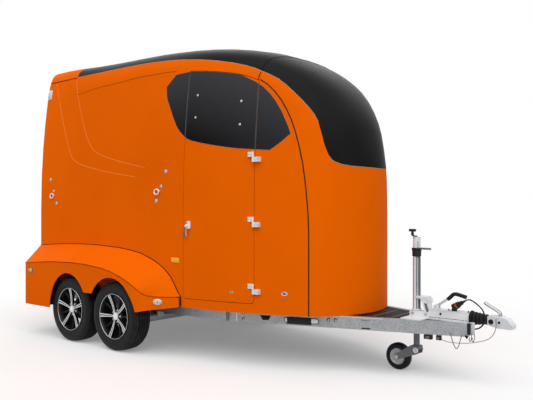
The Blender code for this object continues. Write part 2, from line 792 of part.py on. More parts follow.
def body_side(side, label):
    """Side wall, its window panes, the side door and the seam trim of one side."""
    glass = glass_outline()
    door = door_outline()
    wall_hole = inset(door, -MOVING_GAP / 2)
    door_shape = inset(door, MOVING_GAP / 2)
    panes = {
        "rear": (clipped(glass, 0, DOOR_REAR_X - MOVING_GAP / 2 - 0.0002), None),
        "front": (clipped(glass, DOOR_FRONT_X + MOVING_GAP / 2 + 0.0002, FAR), None),
        "door": (clipped(glass, DOOR_REAR_X + MOVING_GAP / 2 + 0.0002, DOOR_FRONT_X - MOVING_GAP / 2 - 0.0002), None),
    }
    hinge = pivot(f"door_hinge_{label}", hinge_point(side, HINGE_HEIGHTS[1]))

    recess = side_layer(f"recess_{label}", side, GLASS + SEAT_GAP, 0.02, hidden=True)
    boolean(recess, side_prism(f"recess_outline_{label}", inset(glass, -PANEL_GAP), side), "INTERSECT")

    wall = side_layer(f"side_wall_{label}", side, WALL)
    boolean(wall, side_prism(f"wall_outline_{label}", inset(WALL_REGION, PANEL_GAP / 2), side), "INTERSECT")
    trim_cut = seam_strip(SEAM_TRIM_WIDTH / 2 + SEAT_GAP)
    boolean(wall, side_prism(f"wall_trim_cut_{label}", trim_cut, side))
    boolean(wall, side_prism(f"wall_door_cut_{label}", wall_hole, side))
    boolean(wall, recess)
    for place in ("rear", "front"):
        hole = inset(panes[place][0], GLASS_REBATE)
        boolean(wall, side_prism(f"wall_{place}_window_cut_{label}", hole, side))
    settle(wall)
    leaves = [hinge_leaf(f"wall_leaf_{label}_{i}", side, z, 1) for i, z in enumerate(HINGE_HEIGHTS)]
    joined(wall, *leaves)
    finish_piece(wall, f"side_wall_{label}", "orange_paint")

    panel = side_layer(f"door_panel_{label}", side, WALL)
    boolean(panel, side_prism(f"door_outline_{label}", door_shape, side), "INTERSECT")
    boolean(panel, recess)
    boolean(panel, side_prism(f"door_window_cut_{label}", inset(panes["door"][0], GLASS_REBATE), side))
    settle(panel)
    leaves = [hinge_leaf(f"door_leaf_{label}_{i}", side, z, -1) for i, z in enumerate(HINGE_HEIGHTS)]
    joined(panel, *leaves)
    finish_piece(panel, f"door_panel_{label}", "orange_paint", hinge)

    for place, (outline, _) in panes.items():
        pane = side_layer(f"pane_{place}_{label}", side, GLASS)
        boolean(pane, side_prism(f"pane_{place}_outline_{label}", inset(outline, PANEL_GAP / 2), side), "INTERSECT")
        settle(pane)
        finish_piece(pane, f"pane_{place}_{label}", "smoked_glass", hinge if place == "door" else None)

    trim = side_layer(f"nose_trim_{label}", side, WALL / 2)
    strip = between_heights(seam_strip(SEAM_TRIM_WIDTH / 2), 0, CAP_STATIONS[7][1] - 0.015)
    boolean(trim, side_prism(f"trim_outline_{label}", strip, side), "INTERSECT")
    settle(trim)
    finish_piece(trim, f"nose_trim_{label}", "rubber")

    door_handle(side, label, hinge)


def seam_strip(half_width):
    """A strip along the nose seam in side view, as wide as stated to each side."""
    seam = [np.array(point) for point in NOSE_SEAM[:-1]] + [np.array((NOSE_SEAM_X, SILL_Z))]
    rear_side, front_side = [], []
    for index, point in enumerate(seam):
        before = seam[max(0, index - 1)]
        after = seam[min(len(seam) - 1, index + 1)]
        along = (after - before) / np.linalg.norm(after - before)
        across = np.array((along[1], -along[0]))
        rear_side.append(tuple(point + across * half_width))
        front_side.append(tuple(point - across * half_width))
    return rear_side + list(reversed(front_side))


def door_handle(side, label, hinge):
    """Lift handle near the rear edge of the side door."""
    x = DOOR_REAR_X + 0.045
    skin_y = side_half_width(x, HANDLE_Z)
    start = skin_y + SEAT_GAP
    rows = sorted((side * start, side * (start + 0.022)))
    boss = box("boss", (x - 0.018, rows[0], HANDLE_Z - 0.020), (x + 0.018, rows[1], HANDLE_Z + 0.030), bevel=0.006)
    arm_rows = sorted((side * (start + 0.012), side * (start + 0.026)))
    arm = box("arm", (x - 0.022, arm_rows[0], HANDLE_Z - 0.095), (x - 0.006, arm_rows[1], HANDLE_Z + 0.010), bevel=0.003)
    settle(boss)
    settle(arm)
    shift_to_mesh(boss)
    shift_to_mesh(arm)
    joined(boss, arm)
    finish_piece(boss, f"door_handle_{label}", "bright_metal", hinge)


def shift_to_mesh(piece):
    """Move a piece's place into its mesh."""
    bpy.context.view_layer.update()
    piece.data.transform(piece.matrix_basis)
    piece.matrix_basis = Matrix.Identity(4)
    return piece


def cap_piece(name, region, finish, trims=()):
    """A panel of the cap, cut out by its outline in side view."""
    piece = cap_layer(name, WALL)
    outline = extruded(f"{name}_outline", inset(region, PANEL_GAP / 2), -WIDE, WIDE, "Y", hidden=True)
    boolean(piece, outline, "INTERSECT")
    for cutter in trims:
        boolean(piece, cutter)
    settle(piece)
    return finish_piece(piece, name, finish)


def cap_panels():
    """Roof, rear cap, dark hood and moulded nose."""
    cap_piece("roof_panel", ROOF_REGION, "black_gloss")
    cap_piece("rear_cap", REAR_CAP_REGION, "orange_paint")
    cap_piece("nose_hood", HOOD_REGION, "black_gloss")
    trim_cut = extruded("nose_trim_cut", seam_strip(SEAM_TRIM_WIDTH / 2 + SEAT_GAP), -WIDE, WIDE, "Y", hidden=True)
    cap_piece("nose_shell", NOSE_REGION, "orange_paint", (trim_cut,))


def plan_outline(depth):
    """The body's plan at floor height, a depth inside the skin."""
    low_z = SILL_Z
    xs = [float(row[0]) for row in ROWS[: JOINT_INDEX + 1]]
    xs += [ROOF_JOINT_X + step * 0.12 for step in range(1, 5)]
    side_points = [(x, -side_half_width(x, low_z)) for x in xs if x < NOSE_SEAM_X]
    arc = []
    for share in reversed(CAP_SHARES[:-1]):
        point = cap_point(ROWS[-1], share)
        arc.append((float(point[0]), -float(point[1])))
    right = side_points + arc
    left = [(x, -y) for x, y in reversed(right[:-1])]
    return inset(right + left, depth)


def rear_section(depth):
    """The body's cross section at the rear, a depth inside the skin, as (y, z) points."""
    low_z = SILL_Z - 0.010
    top_z = float(ROWS[0][1])
    right = []
    for share in SIDE_HEIGHTS:
        z = low_z + (top_z - low_z) * share
        right.append((side_half_width(REAR_X, z), z))
    for share in reversed(CAP_SHARES[:-2]):
        point = cap_point(ROWS[0], share)
        right.append((float(point[1]), float(point[2])))
    left = [(-y, z) for y, z in reversed(right[:-1])]
    return inset(right + left, depth)


def between_heights(outline, low_z, high_z):
    """Keep the part of a cross section between two heights."""
    swapped = clipped([(z, y) for y, z in outline], low_z, high_z)
    return [(y, z) for z, y in swapped]


def knuckles(name, x, z, inner):
    """Four hinge knuckles across the rear; the inner ones belong to the moving leaf."""
    made = []
    for side in (-1, 1):
        start = REAR_KNUCKLE_Y if inner else REAR_KNUCKLE_Y + REAR_KNUCKLE_LENGTH + KNUCKLE_GAP
        ends = ((x, side * start, z), (x, side * (start + REAR_KNUCKLE_LENGTH), z))
        made.append(cylinder(f"{name}_{side}", REAR_KNUCKLE_RADIUS, *ends, 16))
    return made


def rear_end():
    """Portal frame with its header, the loading ramp and the upper flap."""
    floor_top = SILL_Z + FLOOR_THICKNESS
    outer = between_heights(rear_section(WALL + SEAT_GAP), floor_top + SEAT_GAP, 9)
    inner = between_heights(rear_section(WALL + FRAME_WIDTH), floor_top - 0.1, FLAP_TOP_Z - 0.02)
    front_x = REAR_X + RAMP_THICKNESS + MOVING_GAP + FRAME_DEPTH
    frame = extruded("rear_frame", outer, REAR_X + 0.002, front_x, "X")
    header_z = FLAP_TOP_Z + REAR_KNUCKLE_RADIUS + MOVING_GAP
    boolean(frame, box("door_pocket", (REAR_X - 0.1, -1, 0), (front_x - FRAME_DEPTH, 1, header_z), hidden=True))
    boolean(frame, extruded("rear_opening", inner, REAR_X - 0.1, front_x + 0.1, "X", hidden=True))
    settle(frame)
    sill_box = box(
        "rear_sill",
        (front_x - FRAME_DEPTH, 0.080 - BODY_HALF_WIDTH, floor_top + SEAT_GAP),
        (front_x, BODY_HALF_WIDTH - 0.080, floor_top + 0.012),
    )
    joined(frame, sill_box)

    ramp_axis = (REAR_X + REAR_KNUCKLE_RADIUS, 0, RAMP_AXIS_Z)
    flap_axis = (REAR_X + REAR_KNUCKLE_RADIUS, 0, FLAP_TOP_Z)
    fixed = knuckles("fixed_top", flap_axis[0], flap_axis[2], False)
    for knuckle in fixed:
        side = 1 if knuckle.location.y > 0 else -1
        y = knuckle.location.y
        half = REAR_KNUCKLE_LENGTH / 2
        web = box(
            "web",
            (REAR_X + 0.004, y - half, FLAP_TOP_Z),
            (REAR_X + 0.030, y + half, header_z + 0.010),
        )
        joined(frame, knuckle, web)
    for knuckle in knuckles("fixed_foot", ramp_axis[0], ramp_axis[2], False):
        y = knuckle.location.y
        half = REAR_KNUCKLE_LENGTH / 2
        web = box(
            "web",
            (ramp_axis[0], y - half, floor_top + SEAT_GAP),
            (front_x - 0.01, y + half, floor_top + 0.009),
        )
        joined(frame, knuckle, web)
    finish_piece(frame, "rear_frame", "galvanised")

    ramp_pivot = pivot("ramp_pivot", ramp_axis)
    flap_pivot = pivot("flap_pivot", flap_axis)
    clear = rear_section(WALL + MOVING_GAP + 0.001)
    ramp_shape = between_heights(clear, RAMP_AXIS_Z + REAR_KNUCKLE_RADIUS + MOVING_GAP, RAMP_TOP_Z)
    ramp = extruded("rear_ramp", ramp_shape, REAR_X + 0.001, REAR_X + RAMP_THICKNESS, "X")
    add_rear_knuckles(ramp, "ramp", ramp_axis, RAMP_AXIS_Z + REAR_KNUCKLE_RADIUS + MOVING_GAP + 0.004)
    finish_piece(ramp, "rear_ramp", "orange_paint", ramp_pivot)

    flap_high = FLAP_TOP_Z - REAR_KNUCKLE_RADIUS - MOVING_GAP
    flap_shape = between_heights(clear, RAMP_TOP_Z + MOVING_GAP + 0.001, flap_high)
    flap = extruded("rear_flap", flap_shape, REAR_X + 0.001, REAR_X + RAMP_THICKNESS, "X")
    add_rear_knuckles(flap, "flap", flap_axis, flap_high - 0.004)
    finish_piece(flap, "rear_flap", "orange_paint", flap_pivot)


def add_rear_knuckles(leaf, name, axis, reach_z):
    """Join the moving knuckles of a rear hinge to the leaf that they carry."""
    for knuckle in knuckles(f"{name}_knuckle", axis[0], axis[2], True):
        y = knuckle.location.y
        half = REAR_KNUCKLE_LENGTH / 2
        low_z, high_z = sorted((axis[2], reach_z))
        web = box("web", (REAR_X + 0.004, y - half, low_z), (REAR_X + 0.018, y + half, high_z))
        joined(leaf, knuckle, web)


def floor():
    """Floor board between the walls, on the chassis, and the mat on it."""
    outline = plan_outline(WALL + 3 * SEAT_GAP)
    outline = clipped(outline, REAR_X + RAMP_THICKNESS + MOVING_GAP, FAR)
    board = extruded("floor_board", outline, SILL_Z, SILL_Z + FLOOR_THICKNESS, "Z")
    finish_piece(board, "floor_board", "floor_board")
    mat_y = BODY_HALF_WIDTH - MAT_MARGIN
    mat_low = SILL_Z + FLOOR_THICKNESS + SEAT_GAP
    mat = box("floor_mat", (MAT_REAR_X, -mat_y, mat_low), (MAT_FRONT_X, mat_y, mat_low + MAT_HEIGHT))
    shift_to_mesh(mat)
    finish_piece(mat, "floor_mat", "rubber")


def beam(name, start, end, width, low_z, high_z):
    """A straight chassis member in plan."""
    run = Vector((end[0] - start[0], end[1] - start[1], 0))
    length = run.length
    made = box(name, (-length / 2, -width / 2, low_z), (length / 2, width / 2, high_z))
    shift_to_mesh(made)
    middle = ((start[0] + end[0]) / 2, (start[1] + end[1]) / 2, 0)
    turn = Matrix.Translation(middle) @ Matrix.Rotation(math.atan2(run.y, run.x), 4, "Z")
    made.data.transform(turn)
    return made


def chassis():
    """Ladder frame under the floor and the two converging drawbar members."""
    top = SILL_Z - SEAT_GAP
    low = top - MEMBER_HEIGHT
    rear = CROSS_MEMBERS_X[0] - 0.03
    front = CROSS_MEMBERS_X[-1] + 0.03
    rails = [
        box(
            f"rail_{side}",
            (rear, side * RAIL_CENTRE_Y - RAIL_WIDTH / 2, low),
            (front, side * RAIL_CENTRE_Y + RAIL_WIDTH / 2, top),
        )
        for side in (-1, 1)
    ]
    crosses = [
        box(f"cross_{x}", (x - 0.03, -RAIL_CENTRE_Y, low + 0.01), (x + 0.03, RAIL_CENTRE_Y, top - 0.005))
        for x in CROSS_MEMBERS_X
    ]
    pads = [
        box(
            f"jack_pad_{side}",
            (JACK_PAD_X - 0.06, side * RAIL_CENTRE_Y - RAIL_WIDTH / 2 + 0.002, low - JACK_PAD_HEIGHT),
            (JACK_PAD_X + 0.06, side * RAIL_CENTRE_Y + RAIL_WIDTH / 2 - 0.002, low + 0.002),
        )
        for side in (-1, 1)
    ]
    ladder = joined(shift_to_mesh(rails[0]), *crosses, rails[1], *pads)
    finish_piece(ladder, "chassis_frame", "galvanised")

    slope = math.tan(DRAWBAR_ANGLE)
    half = DRAWBAR_WIDTH / 2 / math.cos(DRAWBAR_ANGLE)
    for side, label in ((-1, "right"), (1, "left")):
        def middle_y(x):
            return side * (DRAWBAR_TIP_Y - half + (DRAWBAR_FRONT_X - x) * slope)

        start = (DRAWBAR_REAR_X, middle_y(DRAWBAR_REAR_X))
        end = (DRAWBAR_FRONT_X + 0.03, middle_y(DRAWBAR_FRONT_X + 0.03))
        member = beam(f"drawbar_{label}", start, end, DRAWBAR_WIDTH, low, top)
        tip_cut = box(f"drawbar_tip_cut_{label}", (DRAWBAR_FRONT_X, -1, 0), (DRAWBAR_FRONT_X + 1, 1, 1), hidden=True)
        inner_rows = sorted((side * SEAT_GAP, -side * 1.0))
        centre_cut = box(f"drawbar_side_cut_{label}", (1, inner_rows[0], 0), (5, inner_rows[1], 1), hidden=True)
        rear_cut = box(f"drawbar_rear_cut_{label}", (0, -1, 0), (front + SEAT_GAP, 1, 1), hidden=True)
        for cutter in (tip_cut, centre_cut, rear_cut):
            boolean(member, cutter)
        settle(member)
        finish_piece(member, f"drawbar_{label}", "galvanised")
    step_plate(top - 0.004, slope, half)


def step_plate(top, slope, half):
    """A folded plate between the drawbar members, with a flange down along each."""
    rows = []
    for x in (STEP_PLATE_REAR_X, STEP_PLATE_FRONT_X):
        rows.append((x, DRAWBAR_TIP_Y - 2 * half + (DRAWBAR_FRONT_X - x) * slope - SEAT_GAP))
    (rear_x, rear_y), (front_x, front_y) = rows
    sheet_low = top - STEP_PLATE_THICKNESS
    outline = [(rear_x, -rear_y), (front_x, -front_y), (front_x, front_y), (rear_x, rear_y)]
    plate = extruded("drawbar_plate", outline, sheet_low, top, "Z")
    flanges = []
    for side in (-1, 1):
        flange = [
            (rear_x, side * rear_y),
            (front_x, side * front_y),
            (front_x, side * (front_y - STEP_PLATE_THICKNESS)),
            (rear_x, side * (rear_y - STEP_PLATE_THICKNESS)),
        ]
        flanges.append(extruded(f"flange_{side}", flange, sheet_low - 0.030, sheet_low + 0.002, "Z"))
    joined(plate, *flanges)
    finish_piece(plate, "drawbar_plate", "black_plastic")


def axle(x, label):
    """Torsion axle: cross tube, a trailing arm and a brake drum at each end."""
    tube_x = x + ARM_LENGTH
    chassis_low = SILL_Z - SEAT_GAP - MEMBER_HEIGHT
    tube_z = chassis_low - SEAT_GAP - AXLE_TUBE_RADIUS - 0.008
    reach = WHEEL_CENTRE_Y - TYRE_WIDTH / 2 - 0.05
    beam_tube = cylinder(
        "axle_tube", AXLE_TUBE_RADIUS, (tube_x, 0.01 - reach, tube_z), (tube_x, reach - 0.01, tube_z), 12
    )
    shift_to_mesh(beam_tube)
    parts = []
    for side in (-1, 1):
        inner_y = side * (reach - 0.045)
        outer_y = side * reach
        rows = sorted((inner_y, outer_y))
        outline = arm_outline(tube_x, tube_z, x, TYRE_RADIUS)
        parts.append(extruded("arm", outline, rows[0], rows[1], "Y"))
        drum_rows = (side * (reach - 0.02), side * (WHEEL_CENTRE_Y - 0.035))
        parts.append(cylinder("drum", 0.115, (x, drum_rows[0], TYRE_RADIUS), (x, drum_rows[1], TYRE_RADIUS), 20))
        flange_y = side * (WHEEL_CENTRE_Y + HUB_SEAT_OUT - SEAT_GAP)
        parts.append(
            cylinder("flange", HUB_RADIUS - 0.012, (x, drum_rows[0], TYRE_RADIUS), (x, flange_y, TYRE_RADIUS), 16)
        )
        saddle_rows = sorted((side * (RAIL_CENTRE_Y - 0.05), side * (RAIL_CENTRE_Y + 0.03)))
        parts.append(
            box(
                "saddle",
                (tube_x - 0.055, saddle_rows[0], tube_z),
                (tube_x + 0.055, saddle_rows[1], chassis_low - SEAT_GAP),
            )
        )
    joined(beam_tube, *parts)
    finish_piece(beam_tube, f"axle_{label}", "galvanised")


def arm_outline(x1, z1, x2, z2):
    """A trailing arm in side view: two round ends and straight flanks."""
    radius = 0.036
    angle = math.atan2(z2 - z1, x2 - x1)
    points = []
    for centre_x, centre_z, start in ((x2, z2, angle - math.pi / 2), (x1, z1, angle + math.pi / 2)):
        for step in range(7):
            turn = start + math.pi * step / 6
            points.append((centre_x + radius * math.cos(turn), centre_z + radius * math.sin(turn)))
    return points


def tyre_profile(radius, width, inner_radius, bulge):
    """A tyre's section as (radius, height) points, starting at the top of its tread."""
    half = width / 2
    tread = half * 0.80
    return [
        (radius - 0.006, tread),
        (radius, tread * 0.6),
        (radius, -tread * 0.6),
        (radius - 0.006, -tread),
        (radius - bulge, -half),
        (inner_radius + bulge * 0.4, -half * 0.98),
        (inner_radius, -half * 0.88),
        (inner_radius, half * 0.88),
        (inner_radius + bulge * 0.4, half * 0.98),
        (radius - bulge, half),
    ]


def road_wheel(x, side, label):
    """Tyre and alloy rim on one hub; their local Z points outboard."""
    hub = pivot(f"wheel_hub_{label}", (x, side * WHEEL_CENTRE_Y, TYRE_RADIUS))
    turn = Matrix.Rotation(-side * math.pi / 2, 4, "X")
    place = Matrix.Translation((x, side * WHEEL_CENTRE_Y, TYRE_RADIUS)) @ turn

    tyre = turned("tyre", tyre_profile(TYRE_RADIUS, TYRE_WIDTH, RIM_RADIUS + SEAT_GAP, 0.040), 36)
    half = TYRE_WIDTH / 2 * 0.88
    well = RIM_RADIUS - RIM_WALL
    rim = turned(
        "rim",
        [
            (RIM_RADIUS, half),
            (RIM_RADIUS, -half),
            (well, -half),
            (well - 0.010, -0.020),
            (well, half - 0.030),
            (well + 0.004, half + 0.008),
            (RIM_RADIUS - 0.002, half + 0.008),
        ],
        36,
    )
    face = half - 0.018
    hub_boss = cylinder("hub_boss", HUB_RADIUS, (0, 0, HUB_SEAT_OUT), (0, 0, face), 20)
    shift_to_mesh(hub_boss)
    spokes = [wheel_spoke(i * math.tau / 5, 0.034, 0.052, face - 0.030, face + 0.002) for i in range(5)]
    spokes += [wheel_spoke((i + 0.5) * math.tau / 5, 0.020, 0.016, HUB_SEAT_OUT + 0.001, face - 0.026) for i in range(5)]
    joined(rim, hub_boss, *spokes)
    for piece, name, finish in ((tyre, "tyre", "rubber"), (rim, "rim", "rim_alloy")):
        piece.data.transform(turn)
        piece.location = (x, side * WHEEL_CENTRE_Y, TYRE_RADIUS)
        finish_piece(piece, f"{name}_{label}", finish, hub)
    return place


def wheel_spoke(angle, root_width, tip_width, low, high):
    """A spoke from the hub to the rim, wider or narrower at its outer end."""
    start = HUB_RADIUS * 0.6
    end = RIM_RADIUS - RIM_WALL / 2
    outline = [
        (start, -root_width / 2),
        (end, -tip_width / 2),
        (end, tip_width / 2),
        (start, root_width / 2),
    ]
    spoke = extruded("spoke", outline, low, high, "Z")
    spoke.data.transform(Matrix.Rotation(angle, 4, "Z"))
    return spoke


def fender_rows():
    """The fender's sections, with others between them where its front end turns in."""
    turn_start = next(i for i, row in enumerate(FENDER_SECTIONS) if row[0] > 0.8)
    turned_in = []
    for seam_x, seam_z, crease_x, crease_y, crease_z, foot_z in smooth_path(FENDER_SECTIONS[turn_start:], 2):
        turned_in.append((seam_x, seam_z, crease_x, min(crease_y, FENDER_Y), crease_z, foot_z))
    return list(FENDER_SECTIONS[:turn_start]) + turned_in


def fender(side, label):
    """Moulded fender over both wheels, with a sloping top, a creased edge and two arches."""
    grid = []
    for seam_x, seam_z, crease_x, crease_y, crease_z, foot_z in fender_rows():
        seam = np.array((seam_x, side_half_width(seam_x, seam_z) - FENDER_WALL * 2, seam_z))
        crease = np.array((crease_x, crease_y, crease_z))
        upper = seam * 0.5 + crease * 0.5 + np.array((0, 0, 0.08 * (seam_z - crease_z)))
        low_knee = crease * 0.5 + np.array((crease_x, crease_y, foot_z)) * 0.5
        line = [seam, upper, crease, low_knee, np.array((crease_x, crease_y, foot_z))]
        grid.append([(float(p[0]), side * float(p[1]), float(p[2])) for p in line])
    shell = thicken(loft(f"fender_{label}", grid, (0, side, 0.6)), FENDER_WALL)
    for index, (centre_x, half_length) in enumerate(ARCHES):
        outline = []
        for step in range(17):
            turn = math.pi * step / 16
            rise = ARCH_TOP_Z - FENDER_FOOT_Z
            outline.append((centre_x + half_length * math.cos(turn), FENDER_FOOT_Z + rise * math.sin(turn)))
        outline += [(centre_x - half_length, 0.1), (centre_x + half_length, 0.1)]
        rows = sorted((side * (FENDER_Y - 0.15), side * (FENDER_Y + 0.1)))
        boolean(shell, extruded(f"arch_{label}_{index}", outline, *rows, "Y", hidden=True))
    rows = sorted((side * (FENDER_Y - 0.15), side * (FENDER_Y + 0.1)))
    tongue = box(f"tongue_cut_{label}", (0.2, rows[0], 0.1), (0.5, rows[1], TONGUE_Z), hidden=True)
    boolean(shell, tongue)
    body_cut = extruded(f"fender_body_cut_{label}", plan_outline(-PANEL_GAP), 0.2, 1.1, "Z", hidden=True)
    boolean(shell, body_cut)
    settle(shell)
    finish_piece(shell, f"fender_{label}", "orange_paint")


def coupling():
    """Overrun housing, bellows, coupling head with its handle and the handbrake lever."""
    low = SILL_Z
    housing = extruded(
        "overrun_housing",
        [
            (-HOUSING_HALF_WIDTH, low),
            (HOUSING_HALF_WIDTH, low),
            (HOUSING_HALF_WIDTH, low + 0.012),
            (HOUSING_HALF_WIDTH - 0.018, low + 0.014),
            (HOUSING_HALF_WIDTH - 0.026, HOUSING_TOP_Z),
            (-HOUSING_HALF_WIDTH + 0.026, HOUSING_TOP_Z),
            (-HOUSING_HALF_WIDTH + 0.018, low + 0.014),
            (-HOUSING_HALF_WIDTH, low + 0.012),
        ],
        HOUSING_REAR_X,
        HOUSING_FRONT_X,
        "X",
    )
    finish_piece(housing, "overrun_housing", "bright_metal")

    start = HOUSING_FRONT_X + SEAT_GAP
    length = BELLOWS_FRONT_X - start
    count = 5
    outer = []
    for index in range(count):
        share = index / count
        radius = 0.052 - 0.016 * share
        outer.append((radius, length * (share + 0.1 / count)))
        outer.append((radius, length * (share + 0.5 / count)))
        outer.append((radius - 0.010, length * (share + 0.75 / count)))
    profile = list(reversed(outer)) + [(SHAFT_RADIUS + SEAT_GAP, 0.0), (SHAFT_RADIUS + SEAT_GAP, length)]
    bellows = turned("bellows", profile, 20)
    bellows.data.transform(Matrix.Translation((start, 0, SHAFT_Z)) @ Matrix.Rotation(math.pi / 2, 4, "Y"))
    finish_piece(bellows, "bellows", "rubber")

    head_shape = [
        (BELLOWS_FRONT_X + SEAT_GAP, SHAFT_Z - 0.030),
        (3.840, SHAFT_Z - 0.050),
        (COUPLING_TIP_X, SHAFT_Z - 0.050),
        (COUPLING_TIP_X, SHAFT_Z - 0.020),
        (3.905, SHAFT_Z + 0.022),
        (3.850, SHAFT_Z + 0.036),
        (BELLOWS_FRONT_X + SEAT_GAP, SHAFT_Z + 0.032),
    ]
    head = extruded("coupling_head", head_shape, -0.046, 0.046, "Y")
    socket = cylinder("ball_socket", 0.0255, (3.885, 0, SHAFT_Z - 0.1), (3.885, 0, SHAFT_Z - 0.005), 20, hidden=True)
    boolean(head, socket)
    shaft = cylinder(
        "shaft", SHAFT_RADIUS, (HOUSING_FRONT_X + SEAT_GAP, 0, SHAFT_Z), (BELLOWS_FRONT_X + 0.02, 0, SHAFT_Z), 20
    )
    joined(head, shaft)
    finish_piece(head, "coupling_head", "galvanised")

    handle = tube(
        "coupling_handle",
        [
            (3.835, 0, SHAFT_Z + 0.0365 + 0.012),
            (3.820, 0, SHAFT_Z + 0.075),
            (3.780, 0, SHAFT_Z + 0.098),
            (3.725, 0, SHAFT_Z + 0.128),
        ],
        0.011,
    )
    foot = box(
        "handle_foot",
        (3.815, -0.014, SHAFT_Z + 0.036 + SEAT_GAP),
        (3.850, 0.014, SHAFT_Z + 0.058),
    )
    joined(handle, foot)
    finish_piece(handle, "coupling_handle", "bright_metal")

    lever = tube(
        "handbrake_lever",
        [(3.345, 0, HOUSING_TOP_Z + 0.012), (3.352, 0, 0.555), (3.440, 0, 0.600), (3.480, 0, 0.636), (3.580, 0, 0.628)],
        0.011,
    )
    foot = box(
        "lever_foot",
        (3.325, -0.020, HOUSING_TOP_Z + SEAT_GAP),
        (3.375, 0.020, HOUSING_TOP_Z + 0.035),
    )
    joined(lever, foot)
    finish_piece(lever, "handbrake_lever", "black_plastic")


